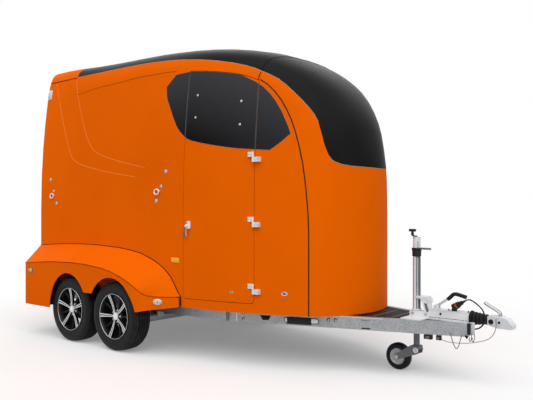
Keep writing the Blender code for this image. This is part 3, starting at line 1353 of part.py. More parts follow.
def jockey():
    """Jockey wheel: bracket and outer tube on the drawbar, sliding tube, swivelling fork, wheel."""
    top_of_members = SILL_Z - SEAT_GAP
    outer = turned(
        "jockey_outer_tube",
        [
            (JOCKEY_TUBE_RADIUS, JOCKEY_TUBE_TOP_Z),
            (JOCKEY_TUBE_RADIUS, JOCKEY_COLLAR_Z + JOCKEY_COLLAR_HEIGHT),
            (JOCKEY_TUBE_RADIUS + 0.006, JOCKEY_COLLAR_Z + JOCKEY_COLLAR_HEIGHT),
            (JOCKEY_TUBE_RADIUS + 0.006, JOCKEY_COLLAR_Z),
            (JOCKEY_TUBE_RADIUS, JOCKEY_COLLAR_Z),
            (JOCKEY_TUBE_RADIUS, JOCKEY_TUBE_BOTTOM_Z),
            (JOCKEY_INNER_RADIUS + SEAT_GAP, JOCKEY_TUBE_BOTTOM_Z),
            (JOCKEY_INNER_RADIUS + SEAT_GAP, JOCKEY_TUBE_TOP_Z - 0.03),
            (0.003, JOCKEY_TUBE_TOP_Z - 0.03),
            (0.003, JOCKEY_TUBE_TOP_Z),
        ],
        24,
    )
    crank = tube(
        "crank",
        [
            (0, 0, JOCKEY_TUBE_TOP_Z - 0.02),
            (0, 0, JOCKEY_TUBE_TOP_Z + 0.012),
            (-JOCKEY_CRANK_OUT, 0, JOCKEY_TUBE_TOP_Z + 0.020),
            (-JOCKEY_CRANK_OUT, 0, JOCKEY_KNOB_Z),
        ],
        0.007,
    )
    knob = cylinder(
        "crank_knob",
        0.011,
        (-JOCKEY_CRANK_OUT - 0.030, 0, JOCKEY_KNOB_Z),
        (-JOCKEY_CRANK_OUT + 0.030, 0, JOCKEY_KNOB_Z),
        12,
    )
    collar_top = JOCKEY_COLLAR_Z + JOCKEY_COLLAR_HEIGHT
    clamp_lever = box(
        "clamp_lever", (JOCKEY_TUBE_RADIUS - 0.002, -0.011, collar_top), (0.122, 0.011, collar_top + 0.014)
    )
    joined(outer, crank, knob, clamp_lever)
    outer.location = (JOCKEY_X, 0, 0)
    finish_piece(outer, "jockey_outer_tube", "galvanised")

    grip = JOCKEY_TUBE_RADIUS + SEAT_GAP
    plate = extruded(
        "jockey_bracket",
        [
            (JOCKEY_X - 0.045, top_of_members + SEAT_GAP),
            (HOUSING_REAR_X - SEAT_GAP, top_of_members + SEAT_GAP),
            (HOUSING_REAR_X - SEAT_GAP, top_of_members + 0.035),
            (JOCKEY_X + 0.106, JOCKEY_FLANGE_Z),
            (JOCKEY_X + 0.008, JOCKEY_FLANGE_Z),
            (JOCKEY_X + 0.008, JOCKEY_FLANGE_Z - 0.016),
            (JOCKEY_X + 0.052, JOCKEY_FLANGE_Z - 0.022),
            (JOCKEY_X + 0.085, top_of_members + 0.052),
            (JOCKEY_X - 0.045, top_of_members + 0.045),
        ],
        -0.036,
        0.036,
        "Y",
    )
    foot = box(
        "bracket_foot",
        (JOCKEY_X - 0.045, -0.190, top_of_members + SEAT_GAP),
        (HOUSING_REAR_X - SEAT_GAP, 0.190, top_of_members + 0.008),
    )
    joined(plate, foot)
    bore = cylinder("jockey_bore", grip, (JOCKEY_X, 0, 0.2), (JOCKEY_X, 0, 1.2), 24, hidden=True)
    boolean(plate, bore)
    settle(plate)
    finish_piece(plate, "jockey_bracket", "bright_metal")

    lift = pivot("jockey_lift", (JOCKEY_X, 0, JOCKEY_TUBE_BOTTOM_Z))
    swivel_z = 0.215
    inner = cylinder(
        "jockey_inner_tube", JOCKEY_INNER_RADIUS, (JOCKEY_X, 0, swivel_z), (JOCKEY_X, 0, 0.72), 24
    )
    finish_piece(inner, "jockey_inner_tube", "galvanised", lift)

    swivel = pivot("jockey_swivel", (JOCKEY_X, 0, swivel_z), lift)
    wheel_x = JOCKEY_X - JOCKEY_TRAIL
    cheek_inner = JOCKEY_WHEEL_WIDTH / 2 + 0.006
    crown = extruded(
        "fork_crown",
        [
            (JOCKEY_X - 0.034, swivel_z - SEAT_GAP - 0.030),
            (JOCKEY_X + 0.030, swivel_z - SEAT_GAP - 0.030),
            (JOCKEY_X + 0.030, swivel_z - SEAT_GAP),
            (JOCKEY_X - 0.034, swivel_z - SEAT_GAP),
        ],
        -cheek_inner - 0.004,
        cheek_inner + 0.004,
        "Y",
    )
    cheeks = []
    for side in (-1, 1):
        rows = sorted((side * cheek_inner, side * (cheek_inner + 0.004)))
        cheeks.append(
            extruded(
                f"cheek_{side}",
                [
                    (wheel_x - 0.018, JOCKEY_WHEEL_RADIUS - 0.012),
                    (wheel_x + 0.012, JOCKEY_WHEEL_RADIUS - 0.020),
                    (JOCKEY_X + 0.030, swivel_z - 0.060),
                    (JOCKEY_X + 0.030, swivel_z - SEAT_GAP),
                    (JOCKEY_X - 0.034, swivel_z - SEAT_GAP),
                    (wheel_x - 0.018, JOCKEY_WHEEL_RADIUS + 0.016),
                ],
                *rows,
                "Y",
            )
        )
    pin = cylinder(
        "wheel_pin",
        0.008,
        (wheel_x, -cheek_inner - 0.006, JOCKEY_WHEEL_RADIUS),
        (wheel_x, cheek_inner + 0.006, JOCKEY_WHEEL_RADIUS),
        16,
    )
    joined(crown, *cheeks, pin)
    finish_piece(crown, "jockey_fork", "galvanised", swivel)

    spin = pivot("jockey_spin", (wheel_x, 0, JOCKEY_WHEEL_RADIUS), swivel)
    turn = Matrix.Rotation(math.pi / 2, 4, "X")
    tyre = turned(
        "jockey_tyre",
        tyre_profile(JOCKEY_WHEEL_RADIUS, JOCKEY_WHEEL_WIDTH, JOCKEY_RIM_RADIUS + SEAT_GAP, 0.014),
        28,
    )
    half = JOCKEY_WHEEL_WIDTH / 2 * 0.8
    rim = turned(
        "jockey_rim",
        [
            (JOCKEY_RIM_RADIUS, half),
            (JOCKEY_RIM_RADIUS, -half),
            (0.055, -half),
            (0.050, -0.006),
            (0.022, -0.006),
            (0.020, -half - 0.002),
            (0.0085, -half - 0.002),
            (0.0085, half + 0.002),
            (0.020, half + 0.002),
            (0.022, 0.006),
            (0.050, 0.006),
            (0.055, half),
        ],
        28,
    )
    for piece, name, finish in ((tyre, "jockey_tyre", "rubber"), (rim, "jockey_rim", "bright_metal")):
        piece.data.transform(turn)
        piece.location = (wheel_x, 0, JOCKEY_WHEEL_RADIUS)
        finish_piece(piece, name, finish, spin)


def electrics():
    """Parked plug in its holder, its lead to the drawbar, and the breakaway cable."""
    way = Vector((0.847, 0, 0.532))
    cup_start = Vector((3.497, -0.028, 0.5485))
    holder = box("plug_holder", (3.487, -0.038, HOUSING_TOP_Z + SEAT_GAP), (3.520, -0.012, 0.542))
    shift_to_mesh(holder)
    cup = cylinder("cup", 0.0265, cup_start, cup_start + way * 0.022, 20)
    joined(holder, cup)
    finish_piece(holder, "plug_holder", "black_plastic")

    start = cup_start + way * (0.022 + SEAT_GAP)
    plug = cylinder("plug", 0.0235, start, start + way * 0.030, 20)
    shift_to_mesh(plug)
    waist = cylinder("waist", 0.020, start + way * 0.028, start + way * 0.062, 20, end_radius=0.015)
    boot = cylinder("boot", 0.010, start + way * 0.060, start + way * 0.085, 16, end_radius=0.008)
    joined(plug, waist, boot)
    finish_piece(plug, "plug", "black_plastic")

    lead_start = start + way * (0.085 + SEAT_GAP)
    lead_end_x = DRAWBAR_FRONT_X + SEAT_GAP
    lead_route = [
        tuple(lead_start),
        tuple(lead_start + way * 0.014),
        (3.628, -0.026, 0.618),
        (3.656, -0.012, 0.600),
        (3.680, 0.022, 0.568),
        (3.695, 0.058, 0.528),
        (3.700, 0.078, 0.475),
        (3.688, 0.074, 0.425),
        (3.660, 0.056, 0.396),
        (lead_end_x + 0.012, 0.046, 0.390),
        (lead_end_x, 0.046, 0.390),
    ]
    lead = tube("plug_lead", laid(lead_route), LEAD_RADIUS, 1)
    finish_piece(lead, "plug_lead", "rubber")

    member_low = SILL_Z - SEAT_GAP - MEMBER_HEIGHT
    cable_route = [
        (3.835, -0.046 - SEAT_GAP, 0.497),
        (3.835, -0.062, 0.497),
        (3.839, -0.080, 0.497),
        (3.848, -0.091, 0.470),
        (3.838, -0.092, 0.411),
        (3.795, -0.092, 0.356),
        (3.718, -0.098, 0.326),
        (3.628, -0.110, 0.306),
        (3.520, -0.118, 0.299),
        (3.450, -0.116, 0.307),
        (3.418, -0.111, 0.322),
        (3.415, -0.110, 0.334),
        (3.415, -0.110, member_low - SEAT_GAP),
    ]
    cable = tube("breakaway_cable", laid(cable_route), CABLE_RADIUS, 1)
    finish_piece(cable, "breakaway_cable", "rubber")


def lamps():
    """Tail lamps on the rear faces of the fenders."""
    for side, label in ((-1, "right"), (1, "left")):
        start = Vector((FENDER_SECTIONS[0][2], side * FENDER_SECTIONS[0][3], 0))
        end = Vector((FENDER_SECTIONS[1][2], side * FENDER_SECTIONS[1][3], 0))
        run = (end - start).normalized()
        out = Vector((-abs(run.y), side * run.x * 1.0, 0)).normalized()
        centre = (start + end) / 2 + out * (0.010 + SEAT_GAP)
        lamp = box(f"tail_lamp_{label}", (-0.010, -0.050, -0.110), (0.010, 0.050, 0.110), bevel=0.004)
        settle(lamp)
        shift_to_mesh(lamp)
        turn = Matrix.Rotation(math.atan2(run.y, run.x) - math.pi / 2, 4, "Z")
        lamp.data.transform(Matrix.Translation((centre.x, centre.y, 0.52)) @ turn)
        finish_piece(lamp, f"tail_lamp_{label}", "lamp_red")


for wheel_side, side_label in ((-1, "right"), (1, "left")):
    body_side(wheel_side, side_label)
    fender(wheel_side, side_label)
    road_wheel(0.0, wheel_side, f"rear_{side_label}")
    road_wheel(AXLE_SPACING, wheel_side, f"front_{side_label}")
cap_panels()
floor()
rear_end()
chassis()
axle(0.0, "rear")
axle(AXLE_SPACING, "front")
coupling()
jockey()
electrics()
lamps()
frame_origin.location.x = -ORIGIN_X
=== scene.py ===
"""Looks of a two-horse trailer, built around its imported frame.

The scene follows the maker's order of work: finishes first, then the body's panels and trim,
the running gear, the coupling end, the chassis and the rear doors. Sizes are in metres.
Places are counted from the rear axle, as on the builder's drawing, and the last step of every
piece moves it into the frame, whose middle stands over the origin.
"""
import json
import logging
import math
from contextlib import contextmanager
from dataclasses import dataclass
from enum import Enum
from functools import lru_cache, partial
from typing import Callable, Iterable, Iterator, Sequence

import bpy
from mathutils import Matrix, Vector, geometry
from mathutils.bvhtree import BVHTree


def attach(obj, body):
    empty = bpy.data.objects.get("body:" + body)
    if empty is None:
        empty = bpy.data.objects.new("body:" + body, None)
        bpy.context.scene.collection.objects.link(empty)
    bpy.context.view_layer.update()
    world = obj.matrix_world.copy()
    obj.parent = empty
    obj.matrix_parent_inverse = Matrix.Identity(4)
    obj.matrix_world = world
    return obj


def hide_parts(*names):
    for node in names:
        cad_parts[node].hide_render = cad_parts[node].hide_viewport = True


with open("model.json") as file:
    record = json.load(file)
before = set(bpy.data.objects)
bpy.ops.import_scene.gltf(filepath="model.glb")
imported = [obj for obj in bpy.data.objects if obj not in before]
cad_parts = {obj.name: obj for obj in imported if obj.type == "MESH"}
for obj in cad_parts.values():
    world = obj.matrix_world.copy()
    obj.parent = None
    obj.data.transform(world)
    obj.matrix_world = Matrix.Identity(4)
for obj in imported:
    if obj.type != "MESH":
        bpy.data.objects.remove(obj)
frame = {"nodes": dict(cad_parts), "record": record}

log = logging.getLogger("horse_trailer")

Piece = bpy.types.Object
Face = bpy.types.MeshPolygon
Tree = bpy.types.NodeTree
Socket = bpy.types.NodeSocket
Point = Sequence[float]
Outline = Sequence[Point]
EdgeTest = Callable[[list[Vector], Vector], bool]

REAR_AXLE_X = -1.547
TRAILER = "trailer"
# Angle above which an edge is shaded sharp.
SHARP = math.radians(38)
# The side doors' hinges.
HINGE_X = 2.105
HINGE_HEIGHTS = (0.647, 1.193, 1.724)
# Where a line that looks for the right-hand skin starts.
OUTSIDE_Y = -1.3
OVAL_SIDES = 24
# Radians that a wave texture turns through for each unit of its scale.
WAVE_TURN = 20


class Side(Enum):
    """The two sides of the trailer, seen from behind; the value is the sign of Y."""

    RIGHT = -1
    LEFT = 1

    @property
    def label(self) -> str:
        """The side's name in the names of nodes and pieces."""
        return self.name.lower()


# Finishes


def linear(hex_colour: str) -> tuple[float, float, float, float]:
    """Turn an sRGB colour into linear light.

    Args:
        hex_colour: Colour as six hexadecimal digits after a hash.

    Returns:
        Red, green, blue and an alpha of one.
    """
    parts = [int(hex_colour[i : i + 2], 16) / 255 for i in (1, 3, 5)]
    return (*[c / 12.92 if c <= 0.04045 else ((c + 0.055) / 1.055) ** 2.4 for c in parts], 1.0)


def add_node(tree: Tree, kind: str, inputs: dict | None = None, **settings) -> bpy.types.Node:
    """Add a node, set its options, and fill or link its inputs.

    Args:
        tree: Node tree that gets the node.
        kind: Blender's type name of the node.
        inputs: Socket names or numbers, each with a value or with a socket to link from.
        **settings: Options of the node itself.

    Returns:
        The new node.
    """
    node = tree.nodes.new(kind)
    for option, value in settings.items():
        setattr(node, option, value)
    for socket, value in (inputs or {}).items():
        if isinstance(value, Socket):
            tree.links.new(value, node.inputs[socket])
        else:
            node.inputs[socket].default_value = value
    return node


@dataclass(frozen=True)
class Mottle:
    """Soft uneven patches.

    Attributes:
        size_mm: Size of a patch.
        octaves: Levels of finer detail in it.
        start: Value of the pattern that gives the low end of the range.
        end: Value that gives the high end.
    """

    size_mm: float
    octaves: float = 3.0
    start: float = 0.3
    end: float = 0.7

    def raw(self, tree: Tree, place: Socket) -> Socket:
        """Add the patches as they are."""
        inputs = {"Vector": place, "Scale": 1000 / self.size_mm, "Detail": self.octaves}
        return add_node(tree, "ShaderNodeTexNoise", inputs).outputs[0]

    def spread(self, tree: Tree, place: Socket, low: float = 0.0, high: float = 1.0) -> Socket:
        """Add the patches and spread them over the range from low to high."""
        inputs = {0: self.raw(tree, place), 1: self.start, 2: self.end, 3: low, 4: high}
        return add_node(tree, "ShaderNodeMapRange", inputs).outputs[0]


@dataclass(frozen=True)
class Look:
    """What a finish's pattern gives to its shader.

    Attributes:
        tone: Share of the shade in the colour.
        height: Height of the relief.
        depth_mm: Depth of the relief.
        strength: How strongly the relief shows.
        gloss: Roughness, where it is uneven.
    """

    tone: Socket
    height: Socket
    depth_mm: float
    strength: float
    gloss: Socket | None = None


@dataclass(frozen=True)
class Finish:
    """A plain moulded or cast surface. Its material is made when it is first asked for.

    Attributes:
        name: The real material and its process.
        colour: Main colour.
        shade: Colour of the darker or worn places.
        roughness: Roughness where the surface is unsoiled.
        metallic: 1 for bare metal.
        shine: Strength of the surface's own reflections.
        grain_mm: Size of the finest pattern.
    """

    name: str
    colour: str
    shade: str
    roughness: float
    metallic: float = 0.0
    shine: float = 0.5
    grain_mm: float = 2.0

    def material(self) -> bpy.types.Material:
        """Give the material of this finish.

        Returns:
            The material, made at the first call.
        """
        found = bpy.data.materials.get(self.name)
        if found is not None:
            return found
        made = bpy.data.materials.new(self.name)
        made.use_nodes = True
        made.diffuse_color = linear(self.colour)
        tree = made.node_tree
        shader = tree.nodes["Principled BSDF"]
        shader.inputs["Metallic"].default_value = self.metallic
        shader.inputs["Specular IOR Level"].default_value = self.shine
        shader.inputs["Roughness"].default_value = self.roughness
        look = self.pattern(tree, add_node(tree, "ShaderNodeTexCoord").outputs["Object"])
        inputs = {0: look.tone, 6: linear(self.colour), 7: linear(self.shade)}
        tint = add_node(tree, "ShaderNodeMix", inputs, data_type="RGBA")
        tree.links.new(tint.outputs[2], shader.inputs["Base Color"])
        if look.gloss is not None:
            tree.links.new(look.gloss, shader.inputs["Roughness"])
        inputs = {"Strength": look.strength, "Distance": look.depth_mm / 1000, "Height": look.height}
        bump = add_node(tree, "ShaderNodeBump", inputs)
        tree.links.new(bump.outputs[0], shader.inputs["Normal"])
        return made

    def pattern(self, tree: Tree, place: Socket) -> Look:
        """Lay broad mottling and a fine grain.

        Args:
            tree: The material's nodes.
            place: Object coordinates.

        Returns:
            Tone, relief and gloss.
        """
        gloss = Mottle(45).spread(tree, place, self.roughness, self.roughness + 0.08)
        grain = Mottle(self.grain_mm, 2).raw(tree, place)
        return Look(Mottle(260).spread(tree, place), grain, 0.05, 0.4, gloss)


@dataclass(frozen=True)
class PaintedShell(Finish):
    """Sprayed lacquer over a moulded shell, with faint cloudiness, orange peel and painted shade low down.

    Attributes:
        dusty: Heights between which the painted shade of the lower part thins out.
        dust: Share of the shade colour at the lower height, as painted shade.
    """

    dusty: tuple[float, float] = (0.35, 0.85)
    dust: float = 0.55

    def pattern(self, tree: Tree, place: Socket) -> Look:
        """Lay clouding, painted shade that darkens the lower part, and the peel of the lacquer.

        Args:
            tree: The material's nodes.
            place: Object coordinates.

        Returns:
            Tone, relief and gloss.
        """
        # Broad patches of the shade colour: on the orange a darker random cloudiness, on the black shell, whose shade
        # is lighter, a painted reflection.
        cloud = Mottle(900, 2).spread(tree, place, 0.0, 0.55)
        height = add_node(tree, "ShaderNodeSeparateXYZ", {0: place}).outputs[2]
        # Painted shade: towards the bottom the colour turns to its shade colour.
        inputs = {0: height, 1: self.dusty[0], 2: self.dusty[1], 3: self.dust, 4: 0.0}
        low = add_node(tree, "ShaderNodeMapRange", inputs).outputs[0]
        tone = add_node(tree, "ShaderNodeMath", {0: cloud, 1: low}, operation="MAXIMUM").outputs[0]
        gloss = Mottle(120).spread(tree, place, self.roughness, self.roughness + 0.05)
        return Look(tone, Mottle(self.grain_mm, 1).raw(tree, place), 0.03, 0.25, gloss)


@dataclass(frozen=True)
class SmokedSheet(Finish):
    """Smoked sheet that darkens downward and rearward: a painted reflection, lightest at the upper front.

    Attributes:
        rise: Heights between which it lightens.
        rise_share: Share of the light tone that the height gives.
        run: Places along the trailer between which it lightens.
        run_share: Share of the light tone that the place gives.
    """

    rise: tuple[float, float] = (1.86, 2.50)
    rise_share: float = 0.6
    run: tuple[float, float] = (-0.05, 0.85)
    run_share: float = 0.4

    def pattern(self, tree: Tree, place: Socket) -> Look:
        """Lay a painted reflection, a slow slope of tone from the lower rear to the upper front, and faint waviness.

        Args:
            tree: The material's nodes.
            place: Object coordinates.

        Returns:
            Tone, relief and gloss.
        """
        parts = add_node(tree, "ShaderNodeSeparateXYZ", {0: place}).outputs
        shares = []
        for part, (start, end), share in ((2, self.rise, self.rise_share), (0, self.run, self.run_share)):
            inputs = {0: parts[part], 1: start, 2: end, 3: 0.0, 4: share}
            shares.append(add_node(tree, "ShaderNodeMapRange", inputs).outputs[0])
        tone = add_node(tree, "ShaderNodeMath", dict(enumerate(shares)), operation="ADD").outputs[0]
        gloss = Mottle(90).spread(tree, place, self.roughness, self.roughness + 0.03)
        return Look(tone, Mottle(140, 1).raw(tree, place), 0.05, 0.2, gloss)


@dataclass(frozen=True)
class ZincSpangle(Finish):
    """Hot-dip zinc: flat crystals of different greys, with dull runs."""

    def pattern(self, tree: Tree, place: Socket) -> Look:
        """Lay crystals, runs and a dull bloom.

        Args:
            tree: The material's nodes.
            place: Object coordinates.

        Returns:
            Tone, relief and gloss.
        """
        flakes = add_node(tree, "ShaderNodeTexVoronoi", {"Vector": place, "Scale": 1000 / self.grain_mm})
        crystal = add_node(tree, "ShaderNodeSeparateColor", {0: flakes.outputs["Color"]}).outputs[0]
        run = Mottle(60, 4).raw(tree, place)
        mixed = add_node(tree, "ShaderNodeMix", {0: 0.45, 2: crystal, 3: run}).outputs[0]
        spread = {0: mixed, 1: 0.2, 2: 0.8}
        tone = add_node(tree, "ShaderNodeMapRange", {**spread, 3: 0.0, 4: 1.0}).outputs[0]
        inputs = {**spread, 3: self.roughness - 0.08, 4: self.roughness + 0.10}
        return Look(tone, run, 0.15, 0.3, add_node(tree, "ShaderNodeMapRange", inputs).outputs[0])


@dataclass(frozen=True)
class BrushedMetal(Finish):
    """Turned or brushed metal with fine parallel lines.

    Attributes:
        brushing: Lines per metre along X, Y and Z.
    """

    brushing: tuple[float, float, float] = (40.0, 40.0, 1400.0)

    def pattern(self, tree: Tree, place: Socket) -> Look:
        """Lay lines along the brushing, and uneven polish.

        Args:
            tree: The material's nodes.
            place: Object coordinates.

        Returns:
            Tone, relief and gloss.
        """
        stretched = add_node(tree, "ShaderNodeMapping", {"Vector": place, "Scale": self.brushing}).outputs[0]
        line = Mottle(1000, 2)
        gloss = Mottle(18).spread(tree, place, self.roughness, self.roughness + 0.12)
        return Look(line.spread(tree, stretched), line.raw(tree, stretched), 0.02, 0.2, gloss)


@dataclass(frozen=True)
class GrainedSkin(Finish):
    """Rubber, plastic or iron with a moulded grain and a little dusting."""

    def pattern(self, tree: Tree, place: Socket) -> Look:
        """Lay grain, dusting and scuffed gloss.

        Args:
            tree: The material's nodes.
            place: Object coordinates.

        Returns:
            Tone, relief and gloss.
        """
        pebbles = add_node(tree, "ShaderNodeTexVoronoi", {"Vector": place, "Scale": 1000 / self.grain_mm})
        grain = add_node(tree, "ShaderNodeSeparateColor", {0: pebbles.outputs["Color"]}).outputs[0]
        gloss = Mottle(25).spread(tree, place, self.roughness - 0.06, self.roughness + 0.08)
        return Look(Mottle(70, 4, 0.42, 0.72).spread(tree, place), grain, 0.08, 0.35, gloss)


@dataclass(frozen=True)
class RibbedLens(Finish):
    """Moulded lens with optic ribs under a smooth face."""

    def pattern(self, tree: Tree, place: Socket) -> Look:
        """Lay level ribs with a deeper tone between them.

        Args:
            tree: The material's nodes.
            place: Object coordinates.

        Returns:
            Tone and relief.
        """
        inputs = {"Vector": place, "Scale": 1000 * math.tau / WAVE_TURN / self.grain_mm}
        rib = add_node(tree, "ShaderNodeTexWave", inputs, bands_direction="Z").outputs[1]
        return Look(rib, rib, 0.4, 0.35)


@dataclass(frozen=True)
class MeshBoard(Finish):
    """Phenolic plywood with its pressed anti-slip mesh."""

    def pattern(self, tree: Tree, place: Socket) -> Look:
        """Lay the pressed mesh and worn patches.

        Args:
            tree: The material's nodes.
            place: Object coordinates.

        Returns:
            Tone and relief.
        """
        bands = []
        for way in ("X", "Y"):
            inputs = {"Vector": place, "Scale": 1000 * math.tau / WAVE_TURN / self.grain_mm}
            bands.append(add_node(tree, "ShaderNodeTexWave", inputs, bands_direction=way).outputs[1])
        crossed = add_node(tree, "ShaderNodeMath", dict(enumerate(bands)), operation="MULTIPLY").outputs[0]
        return Look(Mottle(180, 4).spread(tree, place), crossed, 0.4, 0.6)


# Lacquer on glass-fibre shells: an even, saturated colour with a soft broad gleam, darkened low down
# by painted shade. The peel of the lacquer is about 1 mm across and is drawn at 4 mm, so that it shows.
ORANGE = PaintedShell("lacquered_orange_shell", "#EE6600", "#E05D00", 0.45, shine=0.01, grain_mm=4.0)
# The same lacquer on a raised pressing, drawn lighter as a painted highlight along it.
LIGHT_EDGE = PaintedShell("lacquered_orange_swage", "#F58A3C", "#EA7624", 0.40, shine=0.10, grain_mm=4.0)
# Black lacquer: deep, with a tighter gleam than the orange. Its shade colour is lighter, so its cloudy patches are a
# painted reflection.
DARK_SHELL = PaintedShell("lacquered_black_shell", "#161617", "#2B2B2C", 0.22, shine=0.025, grain_mm=4.0)
# Dark brown on the mudguards' inward faces: painted shade under the arch, quite dull.
ARCH_SHADE = Finish("raw_laminate", "#3E1D06", "#2A1404", 0.75, shine=0.1)
# Polyurethane in a joint between orange shells: a dark line without gleam.
SEAM = Finish("dark_joint_sealant", "#1C0D03", "#120802", 0.80, shine=0.05)
# A mould line in orange shells, seen as a thin line of shade.
CREASE = Finish("shaded_mould_line", "#8A3C00", "#7A3400", 0.60, shine=0.02)
# Extruded trim where a black panel ends: a thin pale line, its paleness a painted highlight on the edge.
PALE_EDGE = Finish("pale_edge_seal", "#B09A88", "#A08A78", 0.50, shine=0.2)
# Glazing rubber round a pane: a grey line with a weak gleam, its grey a painted highlight on the pane's edge.
PANE_SEAL_HIGHLIGHT = Finish("grey_glazing_seal", "#77706C", "#68625E", 0.55, shine=0.2)
# Cast steel under bright nickel: nearly white, softly glossy.
NICKEL = Finish("bright_nickel_casting", "#E6E8EB", "#CDD1D6", 0.42, shine=0.35)
# Rolled steel in the shade of its own flutes: mid grey.
FLUTE = Finish("shaded_steel_flute", "#6E7176", "#54575B", 0.50, shine=0.3)
# Twisted wire under a clear sleeve: brownish grey with a fine grain.
WIRE_ROPE = Finish("twisted_wire_rope", "#94877D", "#7C7069", 0.50, shine=0.3, grain_mm=1.0)
# Zinc drawn darker, without its crystals' glitter: painted shade for the parts that lie in shadow.
SHADED_ZINC = ZincSpangle("weathered_zinc", "#77797C", "#5E6063", 0.50, metallic=0.6)
# Moulded polyethylene cap: a warm red-brown, half matt.
RED_CAP = Finish("red_grease_cap", "#B4561E", "#944415", 0.40, shine=0.3)
# Cast sheet, dyed in the mass: almost black and smooth, greyer towards the upper front as a painted reflection.
ACRYLIC = SmokedSheet("cast_smoked_acrylic", "#020203", "#48484B", 0.14, shine=0.09)
# Steel dipped in molten zinc: light grey crystals some 8 mm across.
ZINC = ZincSpangle("hot_dip_zinc_steel", "#AEB1B4", "#94989B", 0.46, metallic=0.75, grain_mm=8.0)
# Plated and brushed steel: bright, with lines drawn 0.7 mm apart, coarse enough to show.
BRIGHT = BrushedMetal("bright_zinc_plate", "#D4D6D7", "#B9BCBE", 0.28, metallic=0.85)
# Brushed stainless steel: bare metal with the same lines.
STAINLESS = BrushedMetal("brushed_stainless_steel", "#CDCECF", "#AEB0B2", 0.24, metallic=1.0)
# Alloy faced on a lathe under clear lacquer: the brightest metal on the trailer.
TURNED = BrushedMetal("diamond_turned_alloy", "#FAFAFB", "#E4E6E8", 0.30, metallic=0.55)
# Zinc under white powder coat: white, with a faint metal gleam.
POWDER_WHITE = Finish("white_zinc_hinge_plate", "#F4F5F6", "#DDE0E2", 0.40, metallic=0.2)
# Tread with a dusting from the road and painted sheen where its ribs catch light: black with greyer patches.
TREAD = GrainedSkin("dusty_tread_rubber", "#0E0E0F", "#303030", 0.55, shine=0.25, grain_mm=2.5)
# Alloy under black enamel: dark, with a clear gleam along its edges.
DARK_ALLOY = Finish("dark_painted_alloy", "#121213", "#0C0C0D", 0.34, shine=0.25)
# Sand-cast iron under black paint: dull and grainy.
CAST_IRON = GrainedSkin("black_cast_iron", "#0F0F0F", "#171412", 0.62, shine=0.2, grain_mm=1.5)
# Moulded rubber: matt black. Its grain is finer still and is drawn at 0.8 mm, so that it shows.
RUBBER = GrainedSkin("moulded_rubber", "#0E0E0F", "#171718", 0.60, shine=0.25, grain_mm=0.8)
# Vulcanised tyre wall: blacker and a little glossier than other rubber.
TYRE = GrainedSkin("tyre_rubber_compound", "#070708", "#0F0F10", 0.52, shine=0.22, grain_mm=1.2)
# Injection-moulded polypropylene with a leather grain: black, half matt.
PLASTIC = GrainedSkin("grained_black_plastic", "#0F0F10", "#19191A", 0.48, shine=0.3, grain_mm=1.0)
# Film-faced plywood: brown-black, with a mesh of 6 mm squares pressed into it.
BOARD = MeshBoard("phenolic_mesh_board", "#2B2520", "#3A332C", 0.60, shine=0.3, grain_mm=6.2832)
# Moulded acrylic lenses: deep colour, smooth outside, with level ribs inside. Those are
# about 3 mm apart and are drawn 19 mm apart, so that they show.
RED_LENS = RibbedLens("moulded_red_lens", "#9C0A0D", "#6E0507", 0.12, shine=0.4, grain_mm=18.8496)
AMBER_LENS = RibbedLens("moulded_amber_lens", "#F8B43A", "#F0A024", 0.20, shine=0.2, grain_mm=18.8496)
CLEAR_LENS = RibbedLens("moulded_clear_lens", "#DADCDE", "#B9BCC0", 0.10, shine=0.4, grain_mm=18.8496)

SLOT_FINISHES = {
    "orange_paint": ORANGE,
    "black_gloss": DARK_SHELL,
    "smoked_acrylic": ACRYLIC,
    "galvanised_steel": ZINC,
    "bright_steel": BRIGHT,
    "black_rubber": RUBBER,
    "tyre_rubber": TYRE,
    "black_plastic": PLASTIC,
    "rim_alloy": DARK_ALLOY,
    "floor_board": BOARD,
    "lamp_lens": RED_LENS,
}

NODE_FINISHES = {
    "breakaway_cable": WIRE_ROPE,
    "drawbar_plate": CAST_IRON,
    "jockey_rim": ZINC,
    "jockey_bracket": NICKEL,
    # Fork and inner tube in the darker zinc: painted shade, as they stand in shadow.
    "jockey_fork": SHADED_ZINC,
    "jockey_inner_tube": SHADED_ZINC,
    "overrun_housing": NICKEL,
}


# The bench: moves that every sub-assembly is made with


def put_down() -> None:
    """Leave edit mode and deselect everything."""
    if bpy.context.object is not None and bpy.context.object.mode != "OBJECT":
        bpy.ops.object.mode_set(mode="OBJECT")
    bpy.ops.object.select_all(action="DESELECT")


def pick_up(piece: Piece) -> Piece:
    """Make a piece the only one selected, and active.

    Args:
        piece: Piece to pick up.

    Returns:
        The same piece.
    """
    put_down()
    piece.select_set(True)
    bpy.context.view_layer.objects.active = piece
    return piece


@contextmanager
def opened(piece: Piece, kind: str = "VERT", action: str = "SELECT") -> Iterator[None]:
    """Open a piece's mesh in edit mode, and close it afterwards.

    Args:
        piece: Piece to work on.
        kind: What selecting picks: VERT, EDGE or FACE.
        action: SELECT or DESELECT, for the whole mesh at the start.
    """
    pick_up(piece)
    bpy.ops.object.mode_set(mode="EDIT")
    bpy.ops.mesh.select_mode(type=kind)
    bpy.ops.mesh.select_all(action=action)
    yield
    bpy.ops.object.mode_set(mode="OBJECT")


def extrude(way: Iterable[float]) -> None:
    """Extrude what is selected in the open mesh."""
    bpy.ops.mesh.extrude_region_move(TRANSFORM_OT_translate={"value": tuple(way)})


def tidy_skin(piece: Piece) -> Piece:
    """Merge a piece's doubles and turn its faces outward.

    Args:
        piece: Piece to work on.

    Returns:
        The same piece.
    """
    with opened(piece):
        bpy.ops.mesh.remove_doubles(threshold=0.00001)
        bpy.ops.mesh.normals_make_consistent(inside=False)
    return piece


